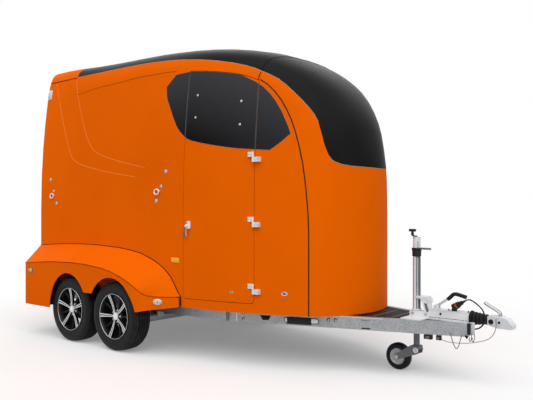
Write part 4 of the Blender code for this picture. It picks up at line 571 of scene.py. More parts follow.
def bevelled(piece: Piece, width: float, segments: int = 2) -> Piece:
    """Round a piece's sharp edges.

    Args:
        piece: Piece to work on.
        width: Width of the bevel.
        segments: Facets across the bevel.

    Returns:
        The same piece.
    """
    pick_up(piece)
    edges = piece.modifiers.new("rounded_edges", "BEVEL")
    edges.width = width
    edges.segments = segments
    edges.limit_method = "ANGLE"
    edges.angle_limit = math.radians(35)
    bpy.ops.object.modifier_apply(modifier=edges.name)
    return piece


def coated(piece: Piece, finish: Finish) -> Piece:
    """Give a whole piece one finish.

    Args:
        piece: Piece to coat.
        finish: Its finish.

    Returns:
        The same piece.
    """
    piece.data.materials.clear()
    piece.data.materials.append(finish.material())
    return piece


def coat_where(piece: Piece, finish: Finish, chosen: Callable[[Face], bool]) -> None:
    """Give the chosen faces of a piece another finish.

    Args:
        piece: Piece to work on.
        finish: Finish of the chosen faces.
        chosen: Says whether a face is one of them.
    """
    piece.data.materials.append(finish.material())
    index = len(piece.data.materials) - 1
    for face in piece.data.polygons:
        if chosen(face):
            face.material_index = index


def moved(piece: Piece, matrix: Matrix) -> Piece:
    """Carry a piece's mesh to another place, and give the piece."""
    piece.data.transform(matrix)
    return piece


def at(x: float, y: float, z: float) -> Matrix:
    """Give the move to a point."""
    return Matrix.Translation((x, y, z))


def spun(degrees: float, axis: str) -> Matrix:
    """Give the rotation about an axis of the scene."""
    return Matrix.Rotation(math.radians(degrees), 4, axis)


def copied(piece: Piece, matrix: Matrix) -> Piece:
    """Copy a piece, with a mesh of its own, to another place.

    Args:
        piece: Piece to copy.
        matrix: Way from the piece to its copy; it may mirror.

    Returns:
        The copy.
    """
    twin = piece.copy()
    twin.data = piece.data.copy()
    bpy.context.scene.collection.objects.link(twin)
    moved(twin, matrix)
    if matrix.determinant() < 0:
        tidy_skin(twin)
    return twin


def joined(pieces: Iterable[Piece]) -> Piece:
    """Join pieces into the first of them.

    Args:
        pieces: Pieces to join.

    Returns:
        The first piece, which holds them all.
    """
    parts = list(pieces)
    pick_up(parts[0])
    for part in parts[1:]:
        part.select_set(True)
    if len(parts) > 1:
        bpy.ops.object.join()
    return parts[0]


def block(centre: Point, size: Point, finish: Finish, bevel: float = 0.002, aslant: float = 0.0) -> Piece:
    """Make a block with rounded edges.

    Args:
        centre: Middle of the block.
        size: Its length, width and height.
        finish: Its finish.
        bevel: Width of its rounded edges.
        aslant: Turn about its upright axis, in degrees.

    Returns:
        The block.
    """
    put_down()
    bpy.ops.mesh.primitive_cube_add(size=1, location=(0, 0, 0))
    piece = bpy.context.object
    moved(piece, Matrix.Diagonal((*size, 1)))
    bevelled(piece, bevel)
    moved(piece, at(*centre) @ spun(aslant, "Z"))
    return coated(piece, finish)


def plate(outline: Outline, depth: Point, finish: Finish, bevel: float = 0.001) -> Piece:
    """Cut a plate to an outline and give it its thickness.

    Args:
        outline: Corners of one face, in order.
        depth: Way from that face to the other one.
        finish: Its finish.
        bevel: Width of its rounded edges.

    Returns:
        The plate.
    """
    put_down()
    bpy.ops.mesh.primitive_circle_add(vertices=len(outline), radius=0.1, fill_type="NGON")
    piece = bpy.context.object
    for vertex, corner in zip(piece.data.vertices, outline):
        vertex.co = corner
    with opened(piece):
        extrude(depth)
    tidy_skin(piece)
    return coated(bevelled(piece, bevel), finish)


def oval(half_length: float, half_height: float, lift: float, straight: float = 0.0) -> Outline:
    """Draw an oval, or a slot with straight sides.

    Args:
        half_length: Half length of the round part.
        half_height: Half height.
        lift: Height of its plane.
        straight: Half length of the straight sides.

    Returns:
        Its corners, in order.
    """
    corners = []
    for step in range(OVAL_SIDES):
        across, up = (wave(step * math.tau / OVAL_SIDES) for wave in (math.cos, math.sin))
        corners.append((math.copysign(straight, across) + half_length * across, half_height * up, lift))
    return corners


def chain(points: Outline) -> Piece:
    """Draw a chain of edges by extruding one corner from point to point.

    Args:
        points: Corners of the chain.

    Returns:
        The chain.
    """
    put_down()
    bpy.ops.mesh.primitive_plane_add(size=0.01, location=(0, 0, 0))
    piece = bpy.context.object
    with opened(piece):
        bpy.ops.mesh.merge(type="CENTER")
        bpy.ops.transform.translate(value=tuple(points[0]))
        for before, after in zip(points, points[1:]):
            extrude(Vector(after) - Vector(before))
    return piece


def lathed(profile: Outline, finish: Finish, steps: int = 32) -> Piece:
    """Turn a profile about the local Z axis.

    Args:
        profile: Its (radius, height) points.
        finish: Finish of the turned piece.
        steps: Facets round it.

    Returns:
        The turned piece.
    """
    piece = chain([(radius, 0.0, height) for radius, height in profile])
    with opened(piece):
        bpy.ops.mesh.spin(steps=steps, angle=math.tau, center=(0, 0, 0), axis=(0, 0, 1))
    return coated(tidy_skin(piece), finish)


def ring(section: Outline, finish: Finish, steps: int = 32) -> Piece:
    """Turn a closed section about the local Z axis."""
    return lathed([*section, section[0]], finish, steps)


def hoop(radius: float, wire: float, facets: Point, finish: Finish, centre: Point, tilt: Point = (0, 0, 0)) -> Piece:
    """Bend a wire into a closed ring.

    Args:
        radius: Radius of the ring.
        wire: Radius of the wire.
        facets: Facets round the ring and round the wire.
        finish: Its finish.
        centre: Middle of the ring.
        tilt: Turns about X, Y and Z, in degrees.

    Returns:
        The ring.
    """
    put_down()
    bpy.ops.mesh.primitive_torus_add(
        major_radius=radius, minor_radius=wire, major_segments=facets[0], minor_segments=facets[1],
        location=centre, rotation=[math.radians(angle) for angle in tilt],
    )
    bpy.ops.object.transform_apply(location=True, rotation=True, scale=True)
    return coated(bpy.context.object, finish)


def laid_along(way: Vector) -> Matrix:
    """Give the rotation that lays the local Z axis along a direction."""
    return way.to_track_quat("Z", "Y").to_matrix().to_4x4()


def pin(
    start: Point, end: Point, radius: float, finish: Finish, sides: int = 20, chamfer: float = 0.0015
) -> Piece:
    """Make a round or many-sided pin with chamfered ends.

    Args:
        start: Middle of one end.
        end: Middle of the other end.
        radius: Radius over its corners.
        finish: Its finish.
        sides: Number of sides.
        chamfer: Width of the chamfer.

    Returns:
        The pin.
    """
    run = Vector(end) - Vector(start)
    put_down()
    bpy.ops.mesh.primitive_cylinder_add(vertices=sides, radius=radius, depth=run.length, location=(0, 0, 0))
    piece = bevelled(bpy.context.object, chamfer, 1)
    middle = (Vector(start) + Vector(end)) / 2
    moved(piece, at(*middle) @ laid_along(run))
    return coated(piece, finish)


def eased(points: Outline, steps: int = 6) -> list[Vector]:
    """Round a route through its own points.

    Args:
        points: Points that the route passes.
        steps: Pieces between one point and the next.

    Returns:
        The rounded route.
    """
    route = [Vector(point) for point in points]
    ends = [2 * route[0] - route[1], *route, 2 * route[-1] - route[-2]]
    smooth = []
    for a, b, c, d in zip(ends, ends[1:], ends[2:], ends[3:]):
        for index in range(steps):
            t = index / steps
            bend = (2 * a - 5 * b + 4 * c - d) * t * t + (3 * b - a - 3 * c + d) * t**3
            smooth.append(0.5 * (2 * b + (c - a) * t + bend))
    return [*smooth, route[-1]]


def thickened(route: Piece, radius: float, finish: Finish, sides: int = 8) -> Piece:
    """Turn loose edges into a rod with closed ends.

    Args:
        route: Piece made of edges only.
        radius: Radius of the rod.
        finish: Its finish.
        sides: Facets round it.

    Returns:
        The rod.
    """
    pick_up(route)
    bpy.ops.object.convert(target="CURVE")
    curve = bpy.context.object.data
    curve.bevel_depth = radius
    curve.bevel_resolution = max(0, sides // 4 - 1)
    curve.use_fill_caps = True
    bpy.ops.object.convert(target="MESH")
    return coated(tidy_skin(bpy.context.object), finish)


def rod(points: Outline, radius: float, finish: Finish, sides: int = 12) -> Piece:
    """Bend a rod or cable along a route, with closed ends."""
    return thickened(chain(points), radius, finish, sides)


def merged_copy(name: str, edge: float) -> Piece:
    """Copy a node, merge its triangles and even out its shading.

    Args:
        name: Name of the node.
        edge: Angle above which an edge stays sharp, in degrees.

    Returns:
        The copy, counted from the rear axle.
    """
    node = frame["nodes"][name]
    skin = node.copy()
    skin.data = node.data.copy()
    skin.parent = None
    bpy.context.scene.collection.objects.link(skin)
    skin.hide_viewport = False
    skin.hide_render = False
    skin.hide_set(False)
    pick_up(skin)
    if skin.data.has_custom_normals:
        bpy.ops.mesh.customdata_custom_splitnormals_clear()
    with opened(skin):
        bpy.ops.mesh.remove_doubles(threshold=0.00002)
        bpy.ops.mesh.dissolve_limited(angle_limit=math.radians(0.2))
    bpy.ops.object.shade_smooth_by_angle(angle=math.radians(edge))
    even = skin.modifiers.new("even_shading", "WEIGHTED_NORMAL")
    even.keep_sharp = True
    even.weight = 60
    bpy.ops.object.modifier_apply(modifier=even.name)
    return moved(skin, at(-REAR_AXLE_X, 0, 0))


def edge_bead(name: str, radius: float, finish: Finish, chosen: EdgeTest) -> Piece:
    """Lay a thin bead along chosen edges of a node.

    Args:
        name: Name of the node.
        radius: Radius of the bead.
        finish: Its finish.
        chosen: Says from an edge's face normals and its middle whether it gets the bead.

    Returns:
        The bead.
    """
    skin = merged_copy(name, 30)
    around: dict[tuple[int, int], list[Vector]] = {}
    for face in skin.data.polygons:
        for key in face.edge_keys:
            around.setdefault(key, []).append(face.normal.copy())
    with opened(skin, "EDGE", "DESELECT"):
        pass
    corners = skin.data.vertices
    for edge in skin.data.edges:
        ends = tuple(sorted(edge.vertices))
        middle = (corners[ends[0]].co + corners[ends[1]].co) / 2
        edge.select = chosen(around.get(ends, []), middle)
    bpy.ops.object.mode_set(mode="EDIT")
    bpy.ops.mesh.duplicate()
    bpy.ops.mesh.separate(type="SELECTED")
    bpy.ops.mesh.select_mode(type="VERT")
    bpy.ops.object.mode_set(mode="OBJECT")
    bead = next(piece for piece in bpy.context.selected_objects if piece is not skin)
    pick_up(bead)
    bpy.data.objects.remove(skin)
    return thickened(bead, radius, finish)


@dataclass(frozen=True)
class SideForm:
    """Form of the body's side: flat behind, tapering forward and leaning in above.

    Attributes:
        flat: Half width of the flat part.
        taper_x: Place where the taper begins.
        taper_radius: Radius of the taper, seen from above.
        lean_z: Height where the side begins to lean in.
        lean_radius: Radius of the lean, seen from behind.
    """

    flat: float = 0.88
    taper_x: float = 1.20
    taper_radius: float = 3.0
    lean_z: float = 1.30
    lean_radius: float = 8.6

    def half_width(self, x: float, z: float) -> float:
        """Give the half width of the body.

        Args:
            x: Place along the trailer.
            z: Height.

        Returns:
            Distance of the side's skin from the middle plane.
        """
        taper = max(0.0, x - self.taper_x)
        lean = max(0.0, z - self.lean_z)
        drawn_in = self.taper_radius - math.sqrt(self.taper_radius**2 - taper**2)
        return self.flat - drawn_in - lean**2 / (2 * self.lean_radius)


SIDE_FORM = SideForm()


def bolt(place: Point, out: Point, size: float, finish: Finish) -> Piece:
    """Set a washer and a hexagon head on a face.

    Args:
        place: Point of the face.
        out: Direction away from the face.
        size: Width of the head over its corners.
        finish: Their finish.

    Returns:
        Washer and head as one piece.
    """
    start, way = Vector(place), Vector(out).normalized()
    washer = pin(start - way * 0.001, start + way * size * 0.14, size * 0.72, finish, 20, size * 0.04)
    head = pin(start + way * size * 0.10, start + way * size * 0.55, size * 0.5, finish, 6, size * 0.07)
    return joined([washer, head])


def finished(piece: Piece, name: str, body: str = TRAILER, *nodes: str) -> Piece:
    """Name a piece, shade it, move it into the frame and hang it on a body.

    Args:
        piece: The piece, still counted from the rear axle.
        name: Its name in the table of pieces.
        body: Body that carries it.
        *nodes: Nodes that it stands for.

    Returns:
        The finished piece.
    """
    pick_up(piece)
    bpy.ops.object.shade_smooth_by_angle(angle=SHARP)
    piece.name = name
    piece.data.name = name
    moved(piece, at(REAR_AXLE_X, 0, 0))
    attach(piece, body)
    if nodes:
        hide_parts(*nodes)
    log.info("%s: %d faces on %s", name, len(piece.data.polygons), body)
    return piece


@lru_cache(maxsize=None)
def skin_tree(node: str) -> BVHTree:
    """Give the search tree of a node's faces.

    Args:
        node: Name of the node.

    Returns:
        The tree, in the frame.
    """
    mesh = frame["nodes"][node].data
    corners = [vertex.co.copy() for vertex in mesh.vertices]
    return BVHTree.FromPolygons(corners, [tuple(face.vertices) for face in mesh.polygons])


def on_skin(node: str, place: Point, way: Point) -> tuple[Vector, Vector]:
    """Find where a line meets a node of the frame.

    Args:
        node: Name of the node.
        place: Start of the line, counted from the rear axle.
        way: Direction of the line.

    Returns:
        The point, counted from the rear axle, and the outward normal there.
    """
    shift = Vector((REAR_AXLE_X, 0, 0))
    start, along = Vector(place) + shift, Vector(way).normalized()
    point, normal, _, _ = skin_tree(node).ray_cast(start, along)
    if point is None:
        raise ValueError(f"the line from {tuple(place)} along {tuple(way)} misses {node}")
    return point - shift, normal if normal.dot(along) < 0 else -normal


def on_side(node: str, x: float, z: float) -> tuple[Vector, Vector]:
    """Find the point and normal of a right-hand node, straight in from the side."""
    return on_skin(node, (x, OUTSIDE_Y, z), (0, 1, 0))


def facing(point: Vector, normal: Vector) -> Matrix:
    """Give the place of a piece that sits on an upright face.

    Args:
        point: Point of the face.
        normal: Outward normal there.

    Returns:
        Frame whose Z stands off the face and whose Y points up.
    """
    across = Vector((0, 0, 1)).cross(normal).normalized()
    rows = Matrix((across, normal.cross(across), normal)).transposed()
    return Matrix.Translation(point) @ rows.to_4x4()


def side_seat(node: str, x: float, z: float) -> Matrix:
    """Give the place of a piece that sits on a right-hand node's outer face."""
    return facing(*on_side(node, x, z))


def seated(pieces: Iterable[Piece], seat: Matrix) -> Piece:
    """Carry pieces to their seat and join them."""
    return joined([moved(piece, seat) for piece in pieces])


FLIP = Matrix.Diagonal((1, -1, 1, 1))


def on_both_sides(piece: Piece, name: str, body: str = TRAILER, *nodes: str) -> None:
    """Finish a right-hand piece and its mirror copy.

    Args:
        piece: Piece of the right side.
        name: Name of the pair, without the side.
        body: Body that carries it; a body of one side ends in its label.
        *nodes: Nodes that it stands for, without the side.
    """
    twin = copied(piece, FLIP)
    for made, side in ((piece, Side.RIGHT), (twin, Side.LEFT)):
        carrier = body if body == TRAILER else f"{body}_{side.label}"
        finished(made, f"{name}_{side.label}", carrier, *[f"{node}_{side.label}" for node in nodes])


# Body


@dataclass
class Shells:
    """The body's panels, with their lofted facets blended into smooth surfaces.

    Attributes:
        names: Nodes that are blended.
        edge: Angle above which an edge stays sharp, in degrees.
        fender_edge: The same on the fenders.
        leaf: Reach of a hinge leaf along the body and up it, and its least thickness.
    """

    names: tuple[str, ...] = (
        "nose_shell", "nose_hood", "roof_panel", "rear_cap",
        "side_wall_right", "side_wall_left", "door_panel_right", "door_panel_left",
        "pane_front_right", "pane_front_left", "pane_door_right", "pane_door_left",
        "pane_rear_right", "pane_rear_left", "fender_right", "fender_left",
    )
    edge: float = 24.0
    fender_edge: float = 15.0
    leaf: tuple[float, float, float] = (0.075, 0.05, 0.0012)

    def build(self) -> None:
        """Blend each panel on a merged copy that stands for its node."""
        carriers = {}
        for body, carried in frame["record"]["behaviour"]["bodies"].items():
            carriers.update(dict.fromkeys(carried, body))
        for name in self.names:
            skin = merged_copy(name, self.fender_edge if name.startswith("fender") else self.edge)
            if name.startswith(("door_panel", "side_wall")):
                coat_where(skin, POWDER_WHITE, self.on_hinge)
            if name.startswith("fender"):
                side = -1 if name.endswith("right") else 1
                # Painted shade on the faces that turn in under the fender.
                coat_where(skin, ARCH_SHADE, lambda face, side=side: face.normal.y * side < -0.25)
            finished(skin, f"{name}_skin", carriers[name], name)

    def on_hinge(self, face: Face) -> bool:
        """Tell whether a face of a door or wall belongs to a hinge leaf.

        Args:
            face: Face of the blended panel.

        Returns:
            True where it stands off the skin near one of the hinges.
        """
        x, y, z = face.center
        beside = abs(x - HINGE_X) < self.leaf[0]
        level = min(abs(z - height) for height in HINGE_HEIGHTS) < self.leaf[1]
        return beside and level and abs(y) > SIDE_FORM.half_width(x, z) + self.leaf[2]


@dataclass
class SidePressings:
    """Raised swage lines drawn lighter as painted highlight, and a dark line of painted shade, on the body sides.

    Attributes:
        lines: Routes in side view, as (x, z) points from the rear edge forward.
        radius: Radius of the bead, most of which lies in the skin.
        sunk: How deep the bead's middle lies.
    """

    lines: tuple[Outline, ...] = (
        (
            (-0.727, 2.667), (-0.694, 2.619), (-0.542, 2.305), (-0.41, 2.037), (-0.311, 1.863),
            (-0.218, 1.787), (0.0, 1.724), (0.382, 1.652), (0.751, 1.599),
        ),
        (
            (-0.35, 2.657), (-0.272, 2.469), (-0.137, 2.189), (-0.027, 2.006), (0.066, 1.902),
            (0.193, 1.84), (0.47, 1.766), (0.889, 1.679),
        ),
        (
            (-0.275, 2.493), (0.05, 2.524), (0.36, 2.533), (0.72, 2.548), (0.864, 2.543),
            (1.12, 2.539), (1.235, 2.530),
        ),
    )
    radius: float = 0.0060
    sunk: float = 0.0046

    def build(self) -> None:
        """Press the lines into both sides."""
        for number, line in enumerate(self.lines, start=1):
            route = []
            for spot in eased([(x, 0.0, z) for x, z in line], 5):
                point, normal = on_side("side_wall_right", spot.x, spot.z)
                route.append(point - normal * self.sunk)
            # The two upper lines are the lighter lacquer, a painted highlight; the third is a dark line of painted
            # shade.
            finish = LIGHT_EDGE if number < 3 else CREASE
            on_both_sides(rod(route, self.radius, finish, 8), f"side_swage_{number}")


@dataclass
class Edges:
    """Beads along the edges of the shells: seals drawn pale as painted highlight, sealant joints, and mould lines in
    painted shade.

    Attributes:
        crease_line: Points along the fender's crease on the left side.
        reach: Distance from that line within which an edge belongs to it.
        overlap: How far past a stretch's ends an edge may lie, as a share of the stretch.
        tip_z: Height above which the fender meets the body side.
        gap: Distance from the body side within which a joint's edge lies.
        fold: Least angle between the faces at such an edge, in radians.
        pane_bead: Radius of the seals round the panes.
        crease_bead: Radius of the bead along the crease.
        joint_bead: Radius of the sealant in the fender's joint.
        top_beads: Radii of the beads on the hood and on the roof.
    """

    crease_line: Outline = (
        (-0.845, 0.884, 0.905), (-0.75, 1.12, 0.735), (-0.50, 1.12, 0.757), (-0.285, 1.12, 0.772),
        (0.067, 1.12, 0.781), (0.315, 1.12, 0.775), (0.551, 1.12, 0.755), (0.701, 1.12, 0.732),
        (0.847, 1.12, 0.691), (0.975, 1.12, 0.645), (1.048, 1.10, 0.596), (1.086, 1.076, 0.561),
        (1.13, 1.046, 0.540), (1.21, 0.992, 0.531), (1.30, 0.931, 0.529), (1.365, 0.886, 0.529),
    )
    reach: float = 0.004
    overlap: float = 0.02
    tip_z: float = 0.535
    gap: float = 0.012
    fold: float = 0.8
    pane_bead: float = 0.0014
    crease_bead: float = 0.0034
    joint_bead: float = 0.0045
    top_beads: tuple[float, float] = (0.0026, 0.0024)

    def build(self) -> None:
        """Lay every bead."""
        for side in Side:
            for pane, body in (("front", TRAILER), ("rear", TRAILER), ("door", f"door_{side.label}")):
                # Pane seals in a pale grey: painted highlight round each pane.
                seal = edge_bead(f"pane_{pane}_{side.label}", self.pane_bead, PANE_SEAL_HIGHLIGHT, partial(self.on_rim, side))
                finished(seal, f"pane_{pane}_{side.label}_seal", body)
            crease = edge_bead(f"fender_{side.label}", self.crease_bead, CREASE, partial(self.on_crease, side))
            joint = edge_bead(f"fender_{side.label}", self.joint_bead, SEAM, partial(self.on_joint, side))
            finished(crease, f"fender_crease_{side.label}")
            finished(joint, f"fender_joint_{side.label}")
        self.seal_joints()
        finished(edge_bead("nose_hood", self.top_beads[0], SEAM, self.rear_rim), "hood_joint")
        # Pale seals on the lower edges of the hood and roof: painted highlight.
        finished(edge_bead("nose_hood", self.top_beads[0], PALE_EDGE, self.low_rim), "hood_edge_seal")
        finished(edge_bead("roof_panel", self.top_beads[1], PALE_EDGE, self.low_rim), "roof_edge_seal")

    def seal_joints(self) -> None:
        """Fill the joints at the rear cap, the roof's front corner and the fender's tip on both sides."""
        parts = []
        for line in (
            [(-0.835, 2.684), (-0.600, 2.684), (-0.365, 2.684)],
            [(2.108, 2.428), (2.101, 2.400), (2.098, 2.365)],
        ):
            hits = [on_side("side_wall_right", x, z) for x, z in line]
            parts.append(rod([point + normal * 0.0004 for point, normal in hits], 0.0040, SEAM, 8))
        parts.append(rod([(1.3805, -0.8835, 0.532), (1.3805, -0.8835, 0.447)], 0.0050, SEAM, 8))
        on_both_sides(joined(parts), "side_joints")

    def on_rim(self, side: Side, normals: list[Vector], middle: Vector) -> bool:
        """Tell whether an edge runs round the outer face of a side panel."""
        outward = [normal.y * side.value > 0.6 for normal in normals]
        return any(outward) and not all(outward)

    def on_crease(self, side: Side, normals: list[Vector], middle: Vector) -> bool:
        """Tell whether an edge lies where the fender's top turns down into its skirt.

        Args:
            side: Side of the trailer.
            normals: Normals of the faces at the edge; not used.
            middle: Middle of the edge.

        Returns:
            True for such an edge.
        """
        spot = Vector((middle.x, middle.y * side.value, middle.z))
        gaps = []
        for start, end in zip(self.crease_line, self.crease_line[1:]):
            foot, share = geometry.intersect_point_line(spot, Vector(start), Vector(end))
            if -self.overlap <= share <= 1 + self.overlap:
                gaps.append((spot - foot).length)
        return bool(gaps) and min(gaps) < self.reach

    def on_joint(self, side: Side, normals: list[Vector], middle: Vector) -> bool:
        """Tell whether a sharp upper edge of the fender meets the body side.

        Args:
            side: Side of the trailer.
            normals: Normals of the faces at the edge.
            middle: Middle of the edge.

        Returns:
            True for such an edge.
        """
        upper = any(normal.z > 0.15 and normal.y * side.value > 0.1 for normal in normals)
        if not upper or middle.z <= self.tip_z or len(normals) != 2:
            return False
        close = abs(abs(middle.y) - SIDE_FORM.half_width(middle.x, middle.z)) < self.gap
        return close and normals[0].angle(normals[1]) > self.fold

    def rear_rim(self, normals: list[Vector], middle: Vector) -> bool:
        """Tell whether an edge of the hood is its rear one, on its outer face.

        Args:
            normals: Normals of the faces at the edge.
            middle: Middle of the edge.

        Returns:
            True for such an edge.
        """
        back = any(normal.x < -0.9 for normal in normals)
        over = any(normal.z > 0.3 for normal in normals) and middle.z > 2.0
        return back and over and not any(normal.z < -0.2 for normal in normals)

    def low_rim(self, normals: list[Vector], middle: Vector) -> bool:
        """Tell whether an edge of a top panel is a lower one, on its outer face.

        Args:
            normals: Normals of the faces at the edge.
            middle: Middle of the edge; not used.

        Returns:
            True for such an edge.
        """
        below = any(normal.z < -0.2 and abs(normal.y) < 0.9 for normal in normals)
        outside = any(normal.z > 0.02 or abs(normal.y) > 0.3 for normal in normals if normal.z > -0.1)
        return below and outside and not any(normal.x < -0.9 for normal in normals)


@dataclass
class SideFittings:
    """Small fittings on the body sides: tie rings, lock, window screws, reflectors and lamps.

    Attributes:
        screws: Places of the window screws, as (x, z).
        screw_radius: Radius of their washers.
        plugs: Places of the round fixings with their radii.
        rings: Places of the tie rings.
        cylinder: Place of the key cylinder on the handle's boss.
    """

    screws: Outline = ((1.518, 2.283), (1.510, 2.090), (1.961, 2.195), (1.961, 2.000))
    screw_radius: float = 0.011
    plugs: Outline = (
        (-0.669, 1.617, 0.020), (-0.609, 1.491, 0.017), (-0.548, 1.363, 0.020),
        (1.180, 1.635, 0.020), (1.120, 1.503, 0.017), (1.058, 1.375, 0.020),
    )
    rings: Outline = ((-0.634, 1.44), (1.065, 1.453))
    cylinder: Point = (-0.002, 0.012, 0)

    def build(self) -> None:
        """Fit both sides."""
        screws = [self.head("pane_door_right", x, z, self.screw_radius) for x, z in self.screws]
        on_both_sides(joined(screws), "pane_screws", "door")
        plugs = [self.head("side_wall_right", x, z, radius) for x, z, radius in self.plugs]
        on_both_sides(joined(plugs), "partition_fixings")
        self.hang_rings()
        self.set_reflectors()
        self.set_lock()
        self.cover_vents()
        self.screw_hinges()

    def head(self, node: str, x: float, z: float, radius: float) -> Piece:
        """Make a domed screw head with a washer on the side skin.

        Args:
            node: Node that it sits on.
            x: Place along the trailer.
            z: Height.
            radius: Radius of the washer.

        Returns:
            Head and washer as one piece.
        """
        shares = ((0.0, 0.42), (0.28, 0.40), (0.55, 0.24), (0.62, 0.14), (0.95, 0.12), (1.0, 0.0))
        profile = [(radius * across, radius * up) for across, up in shares]
        return moved(lathed([*profile, (radius, -0.001), (0.0, -0.001)], STAINLESS, 20), side_seat(node, x, z))

    def hang_rings(self) -> None:
        """Hang the tie rings, each beside its round stem."""
        lug = [(0, 0.0135), (0.0050, 0.0130), (0.0075, 0.0100), (0.0080, 0.0010), (0.0080, -0.001), (0, -0.001)]
        made = []
        for x, z in self.rings:
            stem = moved(lathed(lug, BRIGHT, 20), at(0.040, 0.006, 0))
            loop = hoop(0.0225, 0.0052, (32, 12), POWDER_WHITE, (0, 0, 0.0075))
            moved(loop, Matrix.Diagonal((1.36, 1.08, 1.0, 1.0)))
            made.append(seated([stem, loop], side_seat("side_wall_right", x, z)))
        on_both_sides(joined(made), "tie_rings")

    def set_reflectors(self) -> None:
        """Set the amber side reflector, the oval fender lamp and the marker lamps behind."""
        rim = block((0, 0, 0.001), (0.098, 0.043, 0.004), AMBER_LENS, 0.001)
        lens = block((0, 0, 0.004), (0.092, 0.038, 0.005), AMBER_LENS, 0.002)
        reflector = seated([rim, lens], side_seat("side_wall_right", 1.308, 0.850))
        on_both_sides(reflector, "side_reflector")

        base = plate(oval(0.03894, 0.02728, -0.001), (0, 0, 0.006), NICKEL, 0.002)
        lens = plate(oval(0.033, 0.022, 0.004), (0, 0, 0.007), CLEAR_LENS, 0.003)
        bulb = pin((0.004, 0.001, 0.010), (0.004, 0.001, 0.0118), 0.0065, FLUTE, 18, 0.0006)
        screws = [pin((x, 0, 0.010), (x, 0, 0.0116), 0.0028, CAST_IRON, 12, 0.0004) for x in (-0.024, 0.026)]
        seat = facing(*on_skin("fender_right", (1.305, -1.6, 0.487), (-0.16, 1, 0)))
        on_both_sides(seated([base, lens, bulb, *screws], seat), "fender_marker_lamp")

        base = block((0, 0, -0.001), (0.092, 0.056, 0.006), FLUTE, 0.002)
        lens = block((0, 0, 0.001), (0.062, 0.036, 0.006), AMBER_LENS, 0.0025)
        marker = seated([base, lens], side_seat("fender_right", -0.652, 0.667))
        on_both_sides(marker, "rear_side_marker")

        base = block((0, 0, 0.004), (0.062, 0.106, 0.012), NICKEL, 0.005)
        lens = block((-0.006, 0, 0.012), (0.036, 0.076, 0.010), CLEAR_LENS, 0.004)
        lamp = seated([base, lens], side_seat("side_wall_right", -0.806, 2.548))
        on_both_sides(lamp, "upper_marker_lamp")

    def set_lock(self) -> None:
        """Fit the door handle: a boss with its key cylinder and a lever that hangs beside it."""
        boss = block((0.006, -0.004, 0.009), (0.042, 0.066, 0.020), POWDER_WHITE, 0.008)
        barrel = lathed([(0, 0.0205), (0.007, 0.0205), (0.008, 0.0195), (0.008, 0.016), (0, 0.016)], STAINLESS, 24)
        key = block((0, 0, 0.0208), (0.0015, 0.008, 0.001), CAST_IRON, 0.0003)
        for piece in (barrel, key):
            moved(piece, at(*self.cylinder))
        route = [(0.000, -0.002, 0.018), (-0.011, -0.014, 0.026), (-0.015, -0.055, 0.027), (-0.017, -0.102, 0.022)]
        lever = rod(eased(route, 5), 0.0096, POWDER_WHITE, 16)
        grip = rod(eased([(x - 0.001, y - 0.006, z + 0.0042) for x, y, z in route[1:]], 5), 0.0086, FLUTE, 14)
        handle = seated([boss, barrel, key, lever, grip], side_seat("door_panel_right", 1.468, 1.165))
        on_both_sides(handle, "door_handle_lever", "door", "door_handle")

    def cover_vents(self) -> None:
        """Set the oval vents low on the door and on the body in front of it."""
        for node, x, z, width, name, body in (
            ("door_panel_right", 1.909, 0.610, 0.034, "door_vent", "door"),
            ("side_wall_right", 2.350, 0.618, 0.056, "front_vent", TRAILER),
        ):
            collar = plate(oval(width / 2, width * 0.29, -0.001), (0, 0, 0.004), STAINLESS, 0.001)
            core = plate(oval(width * 0.26, width * 0.12, 0.003), (0, 0, 0.0012), PLASTIC, 0.0004)
            on_both_sides(seated([collar, core], side_seat(node, x, z)), name, body)

    def screw_hinges(self) -> None:
        """Screw each hinge leaf down with two countersunk heads."""
        dome = [(0, 0.0012), (0.0018, 0.0016), (0.0045, 0.0014), (0.0058, 0.0004), (0.0058, -0.0006), (0, -0.0006)]
        for node, name, body, offset, step_down in (
            ("door_panel_right", "hinge_screws", "door", -0.036, 0.022),
            ("side_wall_right", "wall_hinge_screws", TRAILER, 0.036, -0.022),
        ):
            made = []
            for z in HINGE_HEIGHTS:
                for step in (-0.013, 0.013):
                    seat = side_seat(node, HINGE_X + offset + step, z + step_down)
                    made.append(moved(lathed(dome, STAINLESS, 16), seat))
            on_both_sides(joined(made), name, body)


# Running gear


def ribbon(first: Outline, second: Outline, depth: Point, finish: Finish, bevel: float = 0.001) -> Piece:
    """Lay a strip between two edges of equal length and give it its thickness.

    Args:
        first: Points of one edge.
        second: Points of the other edge, in the same order.
        depth: Way from the strip's face to its back.
        finish: Its finish.
        bevel: Width of its rounded edges.

    Returns:
        The strip.
    """
    piece = chain(first)
    aside = Vector((0, 0, 5))
    with opened(piece):
        extrude(aside)
    for vertex in piece.data.vertices[len(first) :]:
        home = vertex.co - aside
        index = min(range(len(first)), key=lambda i: (Vector(first[i]) - home).length)
        vertex.co = second[index]
    with opened(piece):
        extrude(depth)
    tidy_skin(piece)
    return coated(bevelled(piece, bevel), finish)


